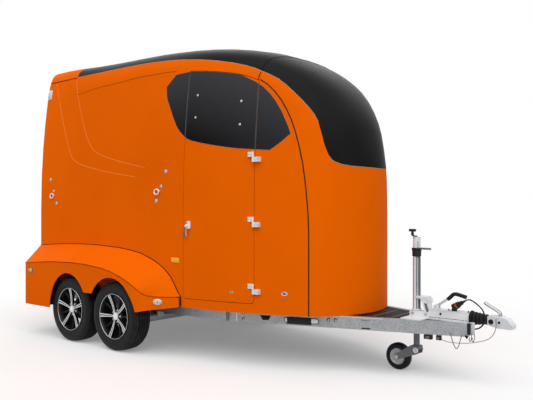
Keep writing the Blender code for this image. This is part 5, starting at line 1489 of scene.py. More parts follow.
@dataclass
class RoadWheels:
    """Four road wheels: treaded tyres on two-tone rims with split spokes.

    Attributes:
        axles: Label, place along the trailer and turn of the spokes, in degrees.
        track: Distance of a wheel's middle from the middle plane.
        radius: Radius of the tyre.
        steps: Facets round the tyre, two for each tread sipe.
        spokes: Number of bright spokes, and of the dark ones between them.
        tread_radius: Radius outside which the rubber takes the tread's greyer finish.
        ribs: Widths of the tread's ribs, across the wheel.
        shoulders: Widths of its shoulder blocks.
        sipe: Inset and depth of a sipe.
    """

    axles: tuple[tuple[str, float, float], ...] = (("rear", 0.0, 18.3), ("front", 0.696, 37.5))
    track: float = 0.9875
    radius: float = 0.317
    steps: int = 180
    spokes: int = 5
    tread_radius: float = 0.3085
    ribs: Outline = ((-0.010, 0.010), (0.022, 0.038), (-0.038, -0.022), (0.052, 0.072), (-0.072, -0.052))
    shoulders: Outline = ((0.074, 0.083), (-0.083, -0.074))
    sipe: tuple[float, float] = (0.0034, 0.0045)

    def build(self) -> None:
        """Make one tyre and one rim, and mount a copy of each on every hub."""
        tyre, rim = self.tyre(), self.rim()
        for label, x, turn in self.axles:
            for side in Side:
                place = at(x, side.value * self.track, self.radius) @ spun(-90 * side.value, "X")
                hub = f"{label}_{side.label}"
                finished(copied(tyre, place), f"tyre_{hub}_treaded", f"wheel_{hub}", f"tyre_{hub}")
                turned = copied(rim, place @ spun(turn, "Z"))
                finished(turned, f"rim_{hub}_spoked", f"wheel_{hub}", f"rim_{hub}")
        for pattern in (tyre, rim):
            bpy.data.objects.remove(pattern)

    def tyre(self) -> Piece:
        """Turn the carcass with its rain grooves, then cut the sipes across its ribs.

        Returns:
            A tyre whose axle is the local Z axis.
        """
        half = [
            (0.3170, 0.0105), (0.3095, 0.0118), (0.3095, 0.0185), (0.3168, 0.0198), (0.3158, 0.0400),
            (0.3085, 0.0415), (0.3085, 0.0490), (0.3148, 0.0505), (0.3122, 0.0735), (0.3078, 0.0835),
            (0.3005, 0.0895), (0.2965, 0.0905), (0.2955, 0.0925), (0.2850, 0.0955), (0.2680, 0.0974),
            (0.2500, 0.0968), (0.2365, 0.0938), (0.2335, 0.0950), (0.2285, 0.0946), (0.2255, 0.0918),
            (0.2160, 0.0892), (0.2105, 0.0872), (0.2080, 0.0850), (0.2080, 0.0500),
        ]
        other = [(radius, -height) for radius, height in reversed(half)]
        tyre = lathed([*other, *half, other[0]], TYRE, self.steps)
        # The tread's greyer finish: road dusting and painted sheen on the ribs.
        coat_where(
            tyre, TREAD, lambda face: face.center.xy.length > self.tread_radius and abs(face.normal.z) < 0.8
        )
        with opened(tyre, "FACE", "DESELECT"):
            pass
        for face in tyre.data.polygons:
            angle = math.atan2(face.center.y, face.center.x) % math.tau
            step = round(angle / math.tau * self.steps - 0.5)
            on_rib = any(low < face.center.z < high for low, high in self.ribs) and face.center.xy.length > 0.312
            on_shoulder = any(low < face.center.z < high for low, high in self.shoulders)
            face.select = (on_rib and step % 2 == 0) or (on_shoulder and step % 2 == 1)
        bpy.ops.object.mode_set(mode="EDIT")
        bpy.ops.mesh.inset(thickness=self.sipe[0], depth=-self.sipe[1], use_individual=True)
        bpy.ops.mesh.select_mode(type="VERT")
        bpy.ops.object.mode_set(mode="OBJECT")
        return tyre

    def rim(self) -> Piece:
        """Build the barrel, the split spokes, the hub and the valve.

        Returns:
            A rim whose axle is the local Z axis.
        """
        section = [
            (0.2072, 0.0850), (0.2072, 0.0928), (0.2064, 0.0938), (0.2038, 0.0938), (0.2028, 0.0925),
            (0.1962, 0.0780), (0.1900, 0.0600), (0.1860, 0.0300), (0.1850, -0.0200), (0.1930, -0.0600),
            (0.1990, -0.0790), (0.2030, -0.0850), (0.2072, -0.0850),
        ]
        barrel = ring(section, DARK_ALLOY, 96)
        coat_where(barrel, BRIGHT, lambda face: face.center.z > 0.0922)
        parts = [barrel, *self.hub()]
        for number in range(self.spokes):
            place = spun(360 * number / self.spokes, "Z")
            gap = place @ spun(180 / self.spokes, "Z")
            parts += [moved(piece, place) for piece in self.split_spoke()]
            parts.append(moved(self.deep_spoke(), gap))
            parts.append(moved(bolt((0.053, 0, 0.054), (0, 0, 1), 0.017, STAINLESS), gap))
        valve = pin((0.176, 0.020, 0.050), (0.168, 0.019, 0.082), 0.004, RUBBER, 12)
        cap = pin((0.169, 0.0191, 0.078), (0.1665, 0.0188, 0.088), 0.0046, PLASTIC, 12)
        return joined([*parts, valve, cap])

    def split_spoke(self) -> list[Piece]:
        """Make one spoke along local X: a dark body under two turned strips with a gap between them.

        Returns:
            The body and the strips.
        """
        rows = []
        for share in (0.0, 0.16, 0.33, 0.5, 0.66, 0.80, 0.91, 1.0):
            radius = 0.026 + 0.174 * share
            height = 0.0705 + 0.0222 * share**2.3
            rows.append((radius, 0.0028 + 0.0034 * share, 0.0084 + 0.0066 * share + 0.0020 * share**6, height))
        flanks = [
            [(radius, sign * (wide + 0.0012), height - 0.0022) for radius, _, wide, height in rows]
            for sign in (-1, 1)
        ]
        pieces = [ribbon(*flanks, (0, 0, -0.026), DARK_ALLOY, 0.0025)]
        for sign in (-1, 1):
            near = [(radius, sign * narrow, height) for radius, narrow, _, height in rows]
            far = [(radius, sign * wide, height) for radius, _, wide, height in rows]
            pieces.append(ribbon(near, far, (0, 0, -0.0032), TURNED, 0.0007))
        return pieces

    def deep_spoke(self) -> Piece:
        """Make one of the dark spokes that lie deeper, between the bright ones.

        Returns:
            The spoke with a rail along each edge.
        """
        edges, rails = [], []
        for sign in (-1, 1):
            edge = []
            for share in (0.0, 0.3, 0.6, 0.85, 1.0):
                height = 0.046 + 0.018 * share**2
                edge.append((0.045 + 0.149 * share, sign * (0.0058 + 0.0052 * share), height))
            edges.append(edge)
            rails.append(rod([(x, y * 0.62, z + 0.0008) for x, y, z in edge], 0.0019, DARK_ALLOY, 8))
        return joined([ribbon(*edges, (0, 0, -0.018), DARK_ALLOY, 0.002), *rails])

    def hub(self) -> list[Piece]:
        """Turn the bright hub with its blank cap, and the dark bolting face.

        Returns:
            Both pieces.
        """
        bright = [
            (0, 0.0740), (0.0120, 0.0738), (0.0185, 0.0750), (0.0205, 0.0742), (0.0212, 0.0718),
            (0.0235, 0.0716), (0.0300, 0.0708), (0.0335, 0.0690), (0.0345, 0.0500), (0, 0.0500),
        ]
        dark = [
            (0.0300, 0.0580), (0.0620, 0.0560), (0.0700, 0.0530), (0.0742, 0.0480), (0.0748, 0.0160),
            (0.0300, 0.0160), (0.0300, 0.0580),
        ]
        return [lathed(bright, TURNED, 40), lathed(dark, DARK_ALLOY, 48)]


@dataclass
class Axles:
    """Torsion axles with their brake drums, seen through the spokes and from below.

    Attributes:
        track: Distance of a wheel's middle from the middle plane.
        wheel_z: Height of the axles' ends.
        places: Label of each axle and its place along the trailer.
    """

    track: float = 0.9875
    wheel_z: float = 0.317
    places: tuple[tuple[str, float], ...] = (("rear", 0.0), ("front", 0.696))

    def build(self) -> None:
        """Blend the axle beams, then fit drums, backing plates and adjuster covers."""
        for label, x in self.places:
            beam = merged_copy(f"axle_{label}", 40)
            coated(beam, ZINC)
            coat_where(beam, CAST_IRON, lambda face, x=x: self.in_drum(face, x))
            parts = [beam]
            for side in Side:
                parts += self.brake(x, side)
            finished(joined(parts), f"axle_{label}_braked", TRAILER, f"axle_{label}")

    def in_drum(self, face: Face, x: float) -> bool:
        """Tell whether a face of the beam belongs to a drum or a hub flange."""
        from_axis = math.hypot(face.center.x - x, face.center.z - self.wheel_z)
        return abs(face.center.y) > self.track - 0.140 and from_axis < 0.118

    def brake(self, x: float, side: Side) -> list[Piece]:
        """Make the ribbed drum, the zinc backing plate and its adjuster cover.

        Args:
            x: Place of the axle.
            side: Side of the trailer.

        Returns:
            The brake's pieces.
        """
        place = at(x, side.value * self.track, self.wheel_z) @ spun(-90 * side.value, "X")
        drum = [(0.0, -0.034), (0.094, -0.034), (0.108, -0.038), (0.1165, -0.046)]
        for rib in range(3):
            low = -0.052 - 0.014 * rib
            drum += [(0.1165, low), (0.1215, low - 0.003), (0.1215, low - 0.006), (0.1165, low - 0.009)]
        drum += [(0.1165, -0.098), (0.0, -0.098)]
        shield = [(0.0, -0.099), (0.128, -0.099), (0.1315, -0.101), (0.1315, -0.104), (0.0, -0.104)]
        clip = block((-0.132, -0.052, -0.062), (0.030, 0.052, 0.004), BRIGHT, 0.0015)
        foot = block((-0.126, -0.052, -0.082), (0.016, 0.040, 0.040), BRIGHT, 0.0015)
        pieces = [lathed(drum, CAST_IRON, 64), lathed(shield, ZINC, 64), clip, foot]
        return [moved(piece, place) for piece in pieces]


# Front end


@dataclass
class JockeyStand:
    """The jockey wheel's fluted outer tube with its clamp, crank and bracket.

    Attributes:
        x: Place of the tube's axis.
        flutes: Number of dark flutes round the tube.
        flute: Radius of their circle and of each flute.
        wheel: Place and height of the wheel's axle.
        pivot: Place and height of the fork's swivel bolt.
    """

    x: float = 3.178
    flutes: int = 10
    flute: tuple[float, float] = (0.0262, 0.0046)
    wheel: tuple[float, float] = (3.020, 0.108)
    pivot: tuple[float, float] = (3.190, 0.182)

    def build(self) -> None:
        """Build the tube, its bracket's slots and the fork's fixings."""
        self.raise_tube()
        self.fit_bracket()
        self.fit_fork()

    def raise_tube(self) -> None:
        """Build the outer tube with its collar, lever, head and crank."""
        tube = [
            (0.0250, 0.330), (0.0300, 0.330), (0.0300, 0.925), (0.0300, 0.990), (0.0300, 1.060),
            (0.0285, 1.068), (0.0030, 1.068), (0.0030, 1.038), (0.0250, 1.030), (0.0250, 0.330),
        ]
        parts = [lathed(tube, FLUTE, 40)]
        # Faces turned toward the light are nickel white, the rest keep the flutes' grey: painted highlight and
        # painted shade round the tube.
        lit_side = Vector((-0.80, -0.60, 0.0))
        coat_where(parts[0], NICKEL, lambda face: face.normal.dot(lit_side) > 0.30 or face.center.z > 0.95)
        # Most flutes are in the darker zinc as painted shade; every third one is nickel.
        for number in range(self.flutes):
            angle = math.radians(360 * number / self.flutes - 48)
            spot = (self.flute[0] * math.cos(angle), self.flute[0] * math.sin(angle))
            finish = SHADED_ZINC if number % 3 else NICKEL
            parts.append(pin((*spot, 0.345), (*spot, 0.915), self.flute[1], finish, 12, 0.001))
        collar = [
            (0.0301, 0.922), (0.0345, 0.924), (0.0365, 0.930), (0.0340, 0.938), (0.0365, 0.946), (0.0345, 0.955),
            (0.0370, 0.962), (0.0370, 0.974), (0.0400, 0.977), (0.0400, 0.986), (0.0380, 0.990), (0.0301, 0.991),
        ]
        parts.append(ring(collar, PLASTIC, 36))
        lever = [(0.030, -0.013, 0.978), (0.030, 0.013, 0.978), (0.112, 0.013, 0.978), (0.122, 0.006, 0.978),
                 (0.122, -0.006, 0.978), (0.112, -0.013, 0.978)]
        parts.append(plate(lever, (0, 0, 0.012), FLUTE, 0.0015))
        parts.append(block((0.076, 0, 0.9915), (0.084, 0.016, 0.005), BRIGHT, 0.0015))
        for height in (1.000, 1.014, 1.028, 1.042):
            parts.append(block((0.021, -0.022, height), (0.020, 0.004, 0.005), CAST_IRON, 0.001, -46))
        cap = [(0.0031, 1.066), (0.0290, 1.066), (0.0305, 1.070), (0.0290, 1.075), (0.0031, 1.075)]
        parts.append(ring(cap, BRIGHT, 32))
        parts.append(hoop(0.0095, 0.0022, (24, 8), STAINLESS, (0.004, -0.016, 1.083), (90, 0, 40)))
        crank = eased([(0, 0, 1.060), (0, 0, 1.078), (-0.034, 0, 1.086), (-0.037, 0, 1.092), (-0.037, 0, 1.126)], 4)
        parts.append(rod(crank, 0.0062, CAST_IRON, 14))
        sleeve = [(0, 1.090), (0.0105, 1.090), (0.0120, 1.094), (0.0105, 1.099), (0.0120, 1.104), (0.0100, 1.112),
                  (0.0100, 1.128), (0, 1.128)]
        parts.append(moved(lathed(sleeve, PLASTIC, 24), at(-0.037, 0, 0)))
        parts.append(pin((-0.067, 0, 1.129), (-0.007, 0, 1.129), 0.0110, PLASTIC, 24, 0.004))
        finished(moved(joined(parts), at(self.x, 0, 0)), "jockey_stand", TRAILER, "jockey_outer_tube")

    def fit_bracket(self) -> None:
        """Give the bracket its slots, ribs, clamp ring and bolts."""
        parts = []
        for side in (-1, 1):
            slot = [(3.258, 0.036 * side, 0.560), (3.281, 0.036 * side, 0.560), (3.300, 0.036 * side, 0.500),
                    (3.280, 0.036 * side, 0.492)]
            # Each slot is a plate of the darker zinc: painted shade in the opening.
            parts.append(plate(slot, (0, 0.0012 * side, 0), SHADED_ZINC, 0.0004))
            rib = eased([(3.205, 0.036 * side, 0.600), (3.286, 0.036 * side, 0.600), (3.300, 0.036 * side, 0.560)], 4)
            parts.append(rod(rib, 0.0035, NICKEL, 10))
            for x, z in ((3.160, 0.475), (3.270, 0.475)):
                parts.append(bolt((x, 0.036 * side, z), (0, side, 0), 0.016, STAINLESS))
        band = [(0.0303, 0.496), (0.0375, 0.496), (0.0385, 0.501), (0.0375, 0.508), (0.0303, 0.508)]
        parts.append(moved(ring(band, NICKEL, 32), at(self.x, 0, 0)))
        finished(joined(parts), "jockey_bracket_fittings")

    def fit_fork(self) -> None:
        """Bolt the fork to its wheel and bead the wheel's rim."""
        parts = []
        (wheel_x, wheel_z), (x, z) = self.wheel, self.pivot
        for side in (-1, 1):
            parts.append(bolt((wheel_x, 0.043 * side, wheel_z), (0, side, 0), 0.022, STAINLESS))
            parts.append(bolt((x, 0.048 * side, z), (0, side, 0), 0.018, STAINLESS))
            parts.append(pin((x, 0.040 * side, z), (x, 0.0485 * side, z), 0.022, BRIGHT, 28))
        finished(joined(parts), "jockey_fork_bolts", "jockey_swivel_fork")
        dish = [
            (0.020, 0.0262), (0.030, 0.0275), (0.034, 0.0250), (0.052, 0.0250), (0.056, 0.0285),
            (0.0645, 0.0290), (0.0645, 0.0240), (0.020, 0.0230),
        ]
        rings = []
        for side in (-1, 1):
            rings.append(moved(ring(dish, ZINC, 36), at(wheel_x, 0, wheel_z) @ spun(90 * side, "X")))
        finished(joined(rings), "jockey_rim_dishes", "jockey_wheel")


@dataclass
class Overrun:
    """Handbrake, housing details, coupling head and the fittings at the drawbar's tip.

    Attributes:
        ends: Rear and front ends of the housing's ridges.
        flange_bolts: Places of the bolts along its flange.
    """

    ends: tuple[float, float] = (3.306, 3.620)
    flange_bolts: Point = (3.330, 3.405, 3.500, 3.596)

    def build(self) -> None:
        """Build every group of fittings."""
        self.pull_handbrake()
        self.dress_housing()
        self.cast_head()
        self.close_drawbar_tip()

    def pull_handbrake(self) -> None:
        """Build the handbrake: a foot of two plates, a grey rod and a thick rubber grip."""
        grip = [(3.440, 0, 0.603), (3.458, 0, 0.618), (3.488, 0, 0.645), (3.520, 0, 0.646), (3.588, 0, 0.630)]
        shaft = [(3.338, 0, 0.531), (3.362, 0, 0.552), (3.400, 0, 0.578), (3.450, 0, 0.612)]
        foot = [(3.325, -0.018, 0.5215), (3.375, -0.018, 0.5215), (3.372, -0.018, 0.548), (3.350, -0.018, 0.562),
                (3.328, -0.018, 0.548)]
        parts = [
            rod(eased(grip, 6), 0.0150, RUBBER, 18),
            rod(eased(shaft, 5), 0.0095, BRIGHT, 14),
            plate(foot, (0, 0.008, 0), NICKEL, 0.001),
            plate([(x, 0.010, z) for x, _, z in foot], (0, 0.008, 0), NICKEL, 0.001),
            pin((3.350, -0.020, 0.540), (3.350, 0.020, 0.540), 0.007, STAINLESS),
        ]
        finished(joined(parts), "handbrake", TRAILER, "handbrake_lever")

    def dress_housing(self) -> None:
        """Give the housing its ridges, flange bolts, grease caps and damper stop."""
        parts = []
        for side in (-1, 1):
            parts.append(rod([(x, 0.0395 * side, 0.519) for x in self.ends], 0.0028, NICKEL, 10))
            # The lower ridges are in the darker zinc: painted shade.
            parts.append(rod([(x, 0.0470 * side, 0.461) for x in self.ends], 0.0026, SHADED_ZINC, 10))
            for x in self.flange_bolts:
                parts.append(bolt((x, 0.056 * side, 0.458), (0, 0, 1), 0.013, STAINLESS))
            parts.append(bolt((3.400, 0.0440 * side, 0.492), (0, side, 0), 0.012, CAST_IRON))
        for x, z in ((3.458, 0.520), (3.612, 0.520)):
            nipple = [(0, 0.0), (0.0058, 0.0), (0.0058, 0.008), (0.0035, 0.010), (0.0035, 0.016), (0, 0.017)]
            finish = RED_CAP if x < 3.5 else CAST_IRON
            parts.append(moved(lathed(nipple, finish, 18), at(x, -0.022, z - 0.001)))
        band = [(0.0530, 0.0), (0.0560, 0.001), (0.0560, 0.011), (0.0530, 0.012), (0.0500, 0.012), (0.0500, 0.0)]
        parts.append(moved(ring(band, CAST_IRON, 36), at(3.6265, 0, 0.480) @ spun(90, "Y")))
        stripe = [(0.0200, 0.0), (0.0262, 0.0), (0.0262, 0.010), (0.0200, 0.010)]
        on_grip = at(3.521, -0.028, 0.562) @ laid_along(Vector((0.083, 0, 0.066)))
        parts.append(moved(ring(stripe, RED_CAP, 24), on_grip))
        finished(joined(parts), "housing_fittings")

    def cast_head(self) -> None:
        """Blend the coupling head and give it its bolts, latch and handle."""
        head = merged_copy("coupling_head", 50)
        coated(head, NICKEL)
        finished(head, "coupling_head_casting", TRAILER, "coupling_head")
        line = [(3.728, 0, 0.604), (3.760, 0, 0.586), (3.810, 0, 0.560), (3.842, 0, 0.538), (3.846, 0, 0.516)]
        handle = eased(line, 6)
        parts = [rod(handle, 0.0125, ZINC, 18)]
        for side in (-1, 1):
            parts.append(rod([(x, 0.0118 * side, z + 0.001) for x, _, z in handle[2:-3]], 0.0042, NICKEL, 8))
        finished(joined(parts), "coupling_lever", TRAILER, "coupling_handle")
        fittings = []
        for side in (-1, 1):
            for x, size in ((3.792, 0.026), (3.852, 0.013)):
                spot = on_skin("coupling_head", (x, 0.3 * side, 0.474), (0, -side, 0))
                fittings.append(bolt(*spot, size, CAST_IRON))
        rib = [on_skin("coupling_head", (x, 0.0, 0.9), (0, 0, -1)) for x in (3.80, 3.83, 3.86, 3.89, 3.92)]
        fittings.append(rod([point - normal * 0.0015 for point, normal in rib], 0.0045, NICKEL, 12))
        finished(joined(fittings), "coupling_head_fittings")

    def close_drawbar_tip(self) -> None:
        """Close the drawbar's tip: end cover, bracket, safety hooks, cable guides and a wire loop."""
        parts = [
            block((3.6320, -0.030, 0.402), (0.012, 0.085, 0.080), PLASTIC, 0.002),
            block((3.6560, -0.046, 0.408), (0.030, 0.006, 0.094), NICKEL, 0.002),
            block((3.6430, -0.030, 0.450), (0.030, 0.060, 0.006), NICKEL, 0.002),
        ]
        for x in (3.645, 3.668):
            hook = eased([(x, -0.047, 0.372), (x + 0.004, -0.050, 0.342), (x - 0.006, -0.050, 0.312),
                          (x - 0.016, -0.050, 0.322), (x - 0.012, -0.049, 0.340)], 5)
            parts.append(rod(hook, 0.0032, WIRE_ROPE, 10))
        loop = [
            (3.505, -0.118, 0.372), (3.519, -0.120, 0.348), (3.535, -0.120, 0.298), (3.552, -0.120, 0.266),
            (3.562, -0.120, 0.260), (3.576, -0.120, 0.275), (3.588, -0.120, 0.315), (3.597, -0.120, 0.343),
            (3.602, -0.116, 0.366),
        ]
        parts.append(rod(eased(loop, 5), 0.0034, WIRE_ROPE, 10))
        for centre, size in (
            ((3.350, -0.150, 0.326), (0.066, 0.030, 0.036)),
            ((3.426, -0.128, 0.325), (0.040, 0.024, 0.038)),
        ):
            parts.append(block(centre, size, PLASTIC, 0.005))
            parts.append(block((centre[0], centre[1] - size[1] / 2 - 0.001, centre[2] - 0.004),
                               (size[0] * 0.5, 0.004, size[2] * 0.5), SHADED_ZINC, 0.001))
        wedge = [(3.610, -0.090, 0.356), (3.640, -0.090, 0.356), (3.626, -0.090, 0.332)]
        parts.append(plate(wedge, (0, 0.012, 0), CAST_IRON, 0.001))
        finished(joined(parts), "drawbar_tip_fittings")


# Chassis


@dataclass
class Chassis:
    """Slots, cover plates and joints of the drawbar members, and brackets beneath the body.

    Attributes:
        slope: Sideways run of a drawbar member per metre of length.
        tip_x: Front end of a member's outer face.
        tip_y: Distance of that end from the middle plane.
    """

    slope: float = 0.3385
    tip_x: float = 3.62
    tip_y: float = 0.066

    def build(self) -> None:
        """Build the details of both sides and the deck between the members."""
        self.cut_members()
        self.deck_members()
        self.hang_brackets()

    def member_frame(self, x: float, z: float) -> Matrix:
        """Give the frame of a place on the right member's outer face.

        Args:
            x: Place along the trailer.
            z: Height.

        Returns:
            Frame with X along the member, Y up and Z out of its face.
        """
        point = Vector((x, -(self.tip_y + (self.tip_x - x) * self.slope), z))
        along = Vector((1.0, self.slope, 0.0)).normalized()
        out = along.cross(Vector((0, 0, 1)))
        turn = Matrix((along, Vector((0, 0, 1)), out)).transposed().to_4x4()
        return Matrix.Translation(point) @ turn

    def cut_members(self) -> None:
        """Show the slots, holes, notches and joint straps of a member's outer face, with painted shade in the
        openings.
        """
        made = []
        # The dark slot and notch plates stand for openings in the member: painted shade inside them.
        for x, z, length, height, finish in (
            (2.392, 0.388, 0.300, 0.050, CAST_IRON),
            (2.392, 0.388, 0.288, 0.038, BRIGHT),
            (2.899, 0.358, 0.072, 0.010, CAST_IRON),
            (2.899, 0.420, 0.072, 0.005, SHADED_ZINC),
        ):
            outline = oval(height / 2, height / 2, 0.0, (length - height) / 2)
            depth = 0.0024 if finish is BRIGHT else 0.0015
            made.append(moved(plate(outline, (0, 0, depth), finish, 0.0004), self.member_frame(x, z)))
        cover = block((0, 0, 0.006), (0.205, 0.056, 0.014), PLASTIC, 0.002)
        made.append(moved(cover, self.member_frame(2.375, 0.384)))
        for x, z in ((2.610, 0.410), (2.665, 0.410), (1.905, 0.420), (1.905, 0.372)):
            seat = self.member_frame(x, z)
            made.append(moved(pin((0, 0, 0), (0, 0, 0.002), 0.0125, CAST_IRON, 24, 0.0005), seat))
            made.append(moved(pin((0.002, -0.002, 0), (0.002, -0.002, 0.004), 0.0065, BRIGHT, 18, 0.0008), seat))
        notch = [(-0.048, 0.020, 0), (0.048, 0.020, 0), (0.026, -0.020, 0), (-0.026, -0.020, 0)]
        made.append(moved(plate(notch, (0, 0, 0.0015), CAST_IRON, 0.0004), self.member_frame(2.095, 0.392)))
        strap = block((0, 0, 0.003), (0.012, 0.092, 0.008), BRIGHT, 0.002)
        made.append(moved(strap, self.member_frame(1.850, 0.396)))
        lip = block((0, 0, 0.002), (0.90, 0.006, 0.006), BRIGHT, 0.002)
        made.append(moved(lip, self.member_frame(2.60, 0.440)))
        on_both_sides(joined(made), "member_details")

    def deck_members(self) -> None:
        """Lay the ribbed pressing and the brake rods between the members."""
        parts = []
        # The ribs and blocks under the nose are in the darker zinc: painted shade.
        for x, half in ((2.90, 0.200), (3.04, 0.152)):
            parts.append(block((x, 0, 0.442), (0.010, half * 2, 0.005), SHADED_ZINC, 0.002))
        parts.append(block((3.120, 0, 0.434), (0.030, 0.110, 0.018), BRIGHT, 0.003))
        tray = [(2.25, -0.46, 0.408), (2.84, -0.262, 0.408), (2.84, 0.262, 0.408), (2.25, 0.46, 0.408)]
        parts.append(plate(tray, (0, 0, 0.028), CAST_IRON, 0.003))
        parts.append(pin((1.00, 0.0, 0.375), (3.34, 0.0, 0.385), 0.007, STAINLESS, 14))
        for x in (1.30, 2.20, 2.70):
            parts.append(block((x, 0, 0.380), (0.030, 0.040, 0.034), SHADED_ZINC, 0.004))
        finished(joined(parts), "brake_rods")

    def hang_brackets(self) -> None:
        """Hang jacking brackets, mudguards and their stays beneath each side."""
        # The zinc blocks under the body are in the darker zinc: painted shade.
        made = [
            block((0.852, -0.722, 0.318), (0.080, 0.016, 0.050), CAST_IRON, 0.004),
            block((0.810, -0.716, 0.300), (0.026, 0.026, 0.044), SHADED_ZINC, 0.004),
            block((0.350, -0.715, 0.312), (0.060, 0.018, 0.044), SHADED_ZINC, 0.004),
        ]
        guard = [
            (-0.462, -1.095, 0.640), (-0.440, -1.095, 0.560), (-0.430, -1.095, 0.480), (-0.430, -1.095, 0.312),
            (-0.438, -1.095, 0.312), (-0.438, -1.095, 0.480), (-0.448, -1.095, 0.560), (-0.470, -1.095, 0.640),
        ]
        made.append(plate(guard, (0, 0.190, 0), PLASTIC, 0.001))
        for z in (0.345, 0.430):
            made.append(bolt((-0.4300, -1.060, z), (1, 0, 0), 0.014, STAINLESS))
        made.append(block((-0.434, -1.078, 0.350), (0.030, 0.022, 0.070), BRIGHT, 0.004))
        on_both_sides(joined(made), "underside_brackets")


# Rear end


@dataclass
class RearEnd:
    """Fittings of the ramp, the flap above it and the tail lamps.

    Attributes:
        face_x: Place of the outer faces.
        latch_y: Distance of the latches from the middle plane.
        lamp_x: Place of the lamps' faces.
        lamp_y: Place of the right lamp across the trailer.
    """

    face_x: float = -0.850
    latch_y: float = 0.700
    lamp_x: float = -0.8335
    lamp_y: float = -1.0055

    def build(self) -> None:
        """Build the fittings of the ramp, the flap and the lamps."""
        self.fit_ramp()
        self.fit_flap()
        self.fit_lamps()

    def strap(self, y: float, low: float, high: float) -> Piece:
        """Make an upright strap with a screw near each end.

        Args:
            y: Its place across the trailer.
            low: Height of its lower end.
            high: Height of its upper end.

        Returns:
            The strap.
        """
        parts = [block((self.face_x + 0.0010, y, (low + high) / 2), (0.006, 0.044, high - low), STAINLESS, 0.002)]
        for z in (low + 0.018, high - 0.018):
            parts.append(bolt((self.face_x + 0.0040, y, z), (-1, 0, 0), 0.010, BRIGHT))
        return joined(parts)

    def fit_ramp(self) -> None:
        """Fit hinge straps, swaged panels, buffers, latches, a pull handle and a blank plate board."""
        parts = [self.strap(y, 0.500, 0.640) for y in (-0.48, 0.48)]
        parts += [self.strap(y * self.latch_y, 1.600, 1.735) for y in (-1, 1)]
        # The ramp's swage lines are in the lighter lacquer: painted highlight.
        for y in (-0.56, 0.56):
            route = [(y, 0.720), (y * 0.98, 1.480), (y * 0.72, 1.560), (y * 0.12, 1.560)]
            parts.append(rod(eased([(self.face_x + 0.0022, a, b) for a, b in route], 4), 0.0042, LIGHT_EDGE, 8))
        for y in (-0.30, 0.30):
            buffer = [(0, 0.004), (0.016, 0.003), (0.020, 0.000), (0.021, -0.004), (0, -0.004)]
            parts.append(moved(lathed(buffer, RUBBER, 24), at(self.face_x, y, 1.640) @ spun(-90, "Y")))
        grip = [(self.face_x + 0.004, -0.09, 1.500), (self.face_x + 0.002, -0.075, 1.500),
                (self.face_x + 0.002, 0.075, 1.500), (self.face_x + 0.004, 0.09, 1.500)]
        parts.append(rod(eased(grip, 5), 0.0070, RUBBER, 12))
        parts.append(block((self.face_x + 0.0005, 0, 0.860), (0.006, 0.540, 0.130), PLASTIC, 0.003))
        parts.append(block((self.face_x - 0.0025, 0, 0.860), (0.002, 0.520, 0.112), POWDER_WHITE, 0.001))
        finished(joined(parts), "ramp_fittings", "ramp")

    def fit_flap(self) -> None:
        """Fit the flap's hinge straps, its rim seal and two turn handles."""
        parts = [self.strap(y, 2.500, 2.595) for y in (-0.45, 0.45)]
        rim = [(-0.800, 1.780), (0.800, 1.780), (0.800, 2.400), (0.660, 2.585), (-0.660, 2.585), (-0.800, 2.400)]
        rim.append(rim[0])
        parts.append(rod([(self.face_x + 0.0020, y, z) for y, z in rim], 0.0036, SEAM, 8))
        for y in (-0.60, 0.60):
            parts.append(block((self.face_x + 0.0005, y, 1.815), (0.007, 0.060, 0.036), STAINLESS, 0.003))
            parts.append(block((self.face_x - 0.0030, y + 0.020, 1.815), (0.003, 0.086, 0.014), CAST_IRON, 0.001))
        finished(joined(parts), "flap_fittings", "flap")

    def fit_lamps(self) -> None:
        """Part each tail lamp into its fields with a dark rim, and add the clear and amber ones."""
        made = []
        for low, high, finish in ((0.418, 0.470, CLEAR_LENS), (0.562, 0.622, AMBER_LENS)):
            middle = (low + high) / 2
            made.append(block((self.lamp_x, self.lamp_y, middle), (0.004, 0.086, high - low), finish, 0.0015))
        for z in (0.476, 0.556):
            made.append(block((self.lamp_x, self.lamp_y, z), (0.005, 0.092, 0.006), PLASTIC, 0.0015))
        rim = [(-0.9585, 0.412), (-1.0525, 0.412), (-1.0525, 0.628), (-0.9585, 0.628), (-0.9585, 0.412)]
        made.append(rod([(-0.8330, y, z) for y, z in rim], 0.0026, PLASTIC, 8))
        on_both_sides(joined(made), "tail_lamp_fields")


ASSEMBLIES = (
    Shells(),
    Edges(),
    SidePressings(),
    SideFittings(),
    RoadWheels(),
    Axles(),
    JockeyStand(),
    Overrun(),
    Chassis(),
    RearEnd(),
)


# Studio


@dataclass(frozen=True)
class Lamp:
    """A broad, distant light.

    Attributes:
        name: Its name.
        energy: Its strength.
        spread: Angle over which it shines, in degrees.
        tilt: Angle from straight down, in degrees.
        turn: Turn about the upright axis, in degrees.
    """

    name: str
    energy: float
    spread: float
    tilt: float
    turn: float


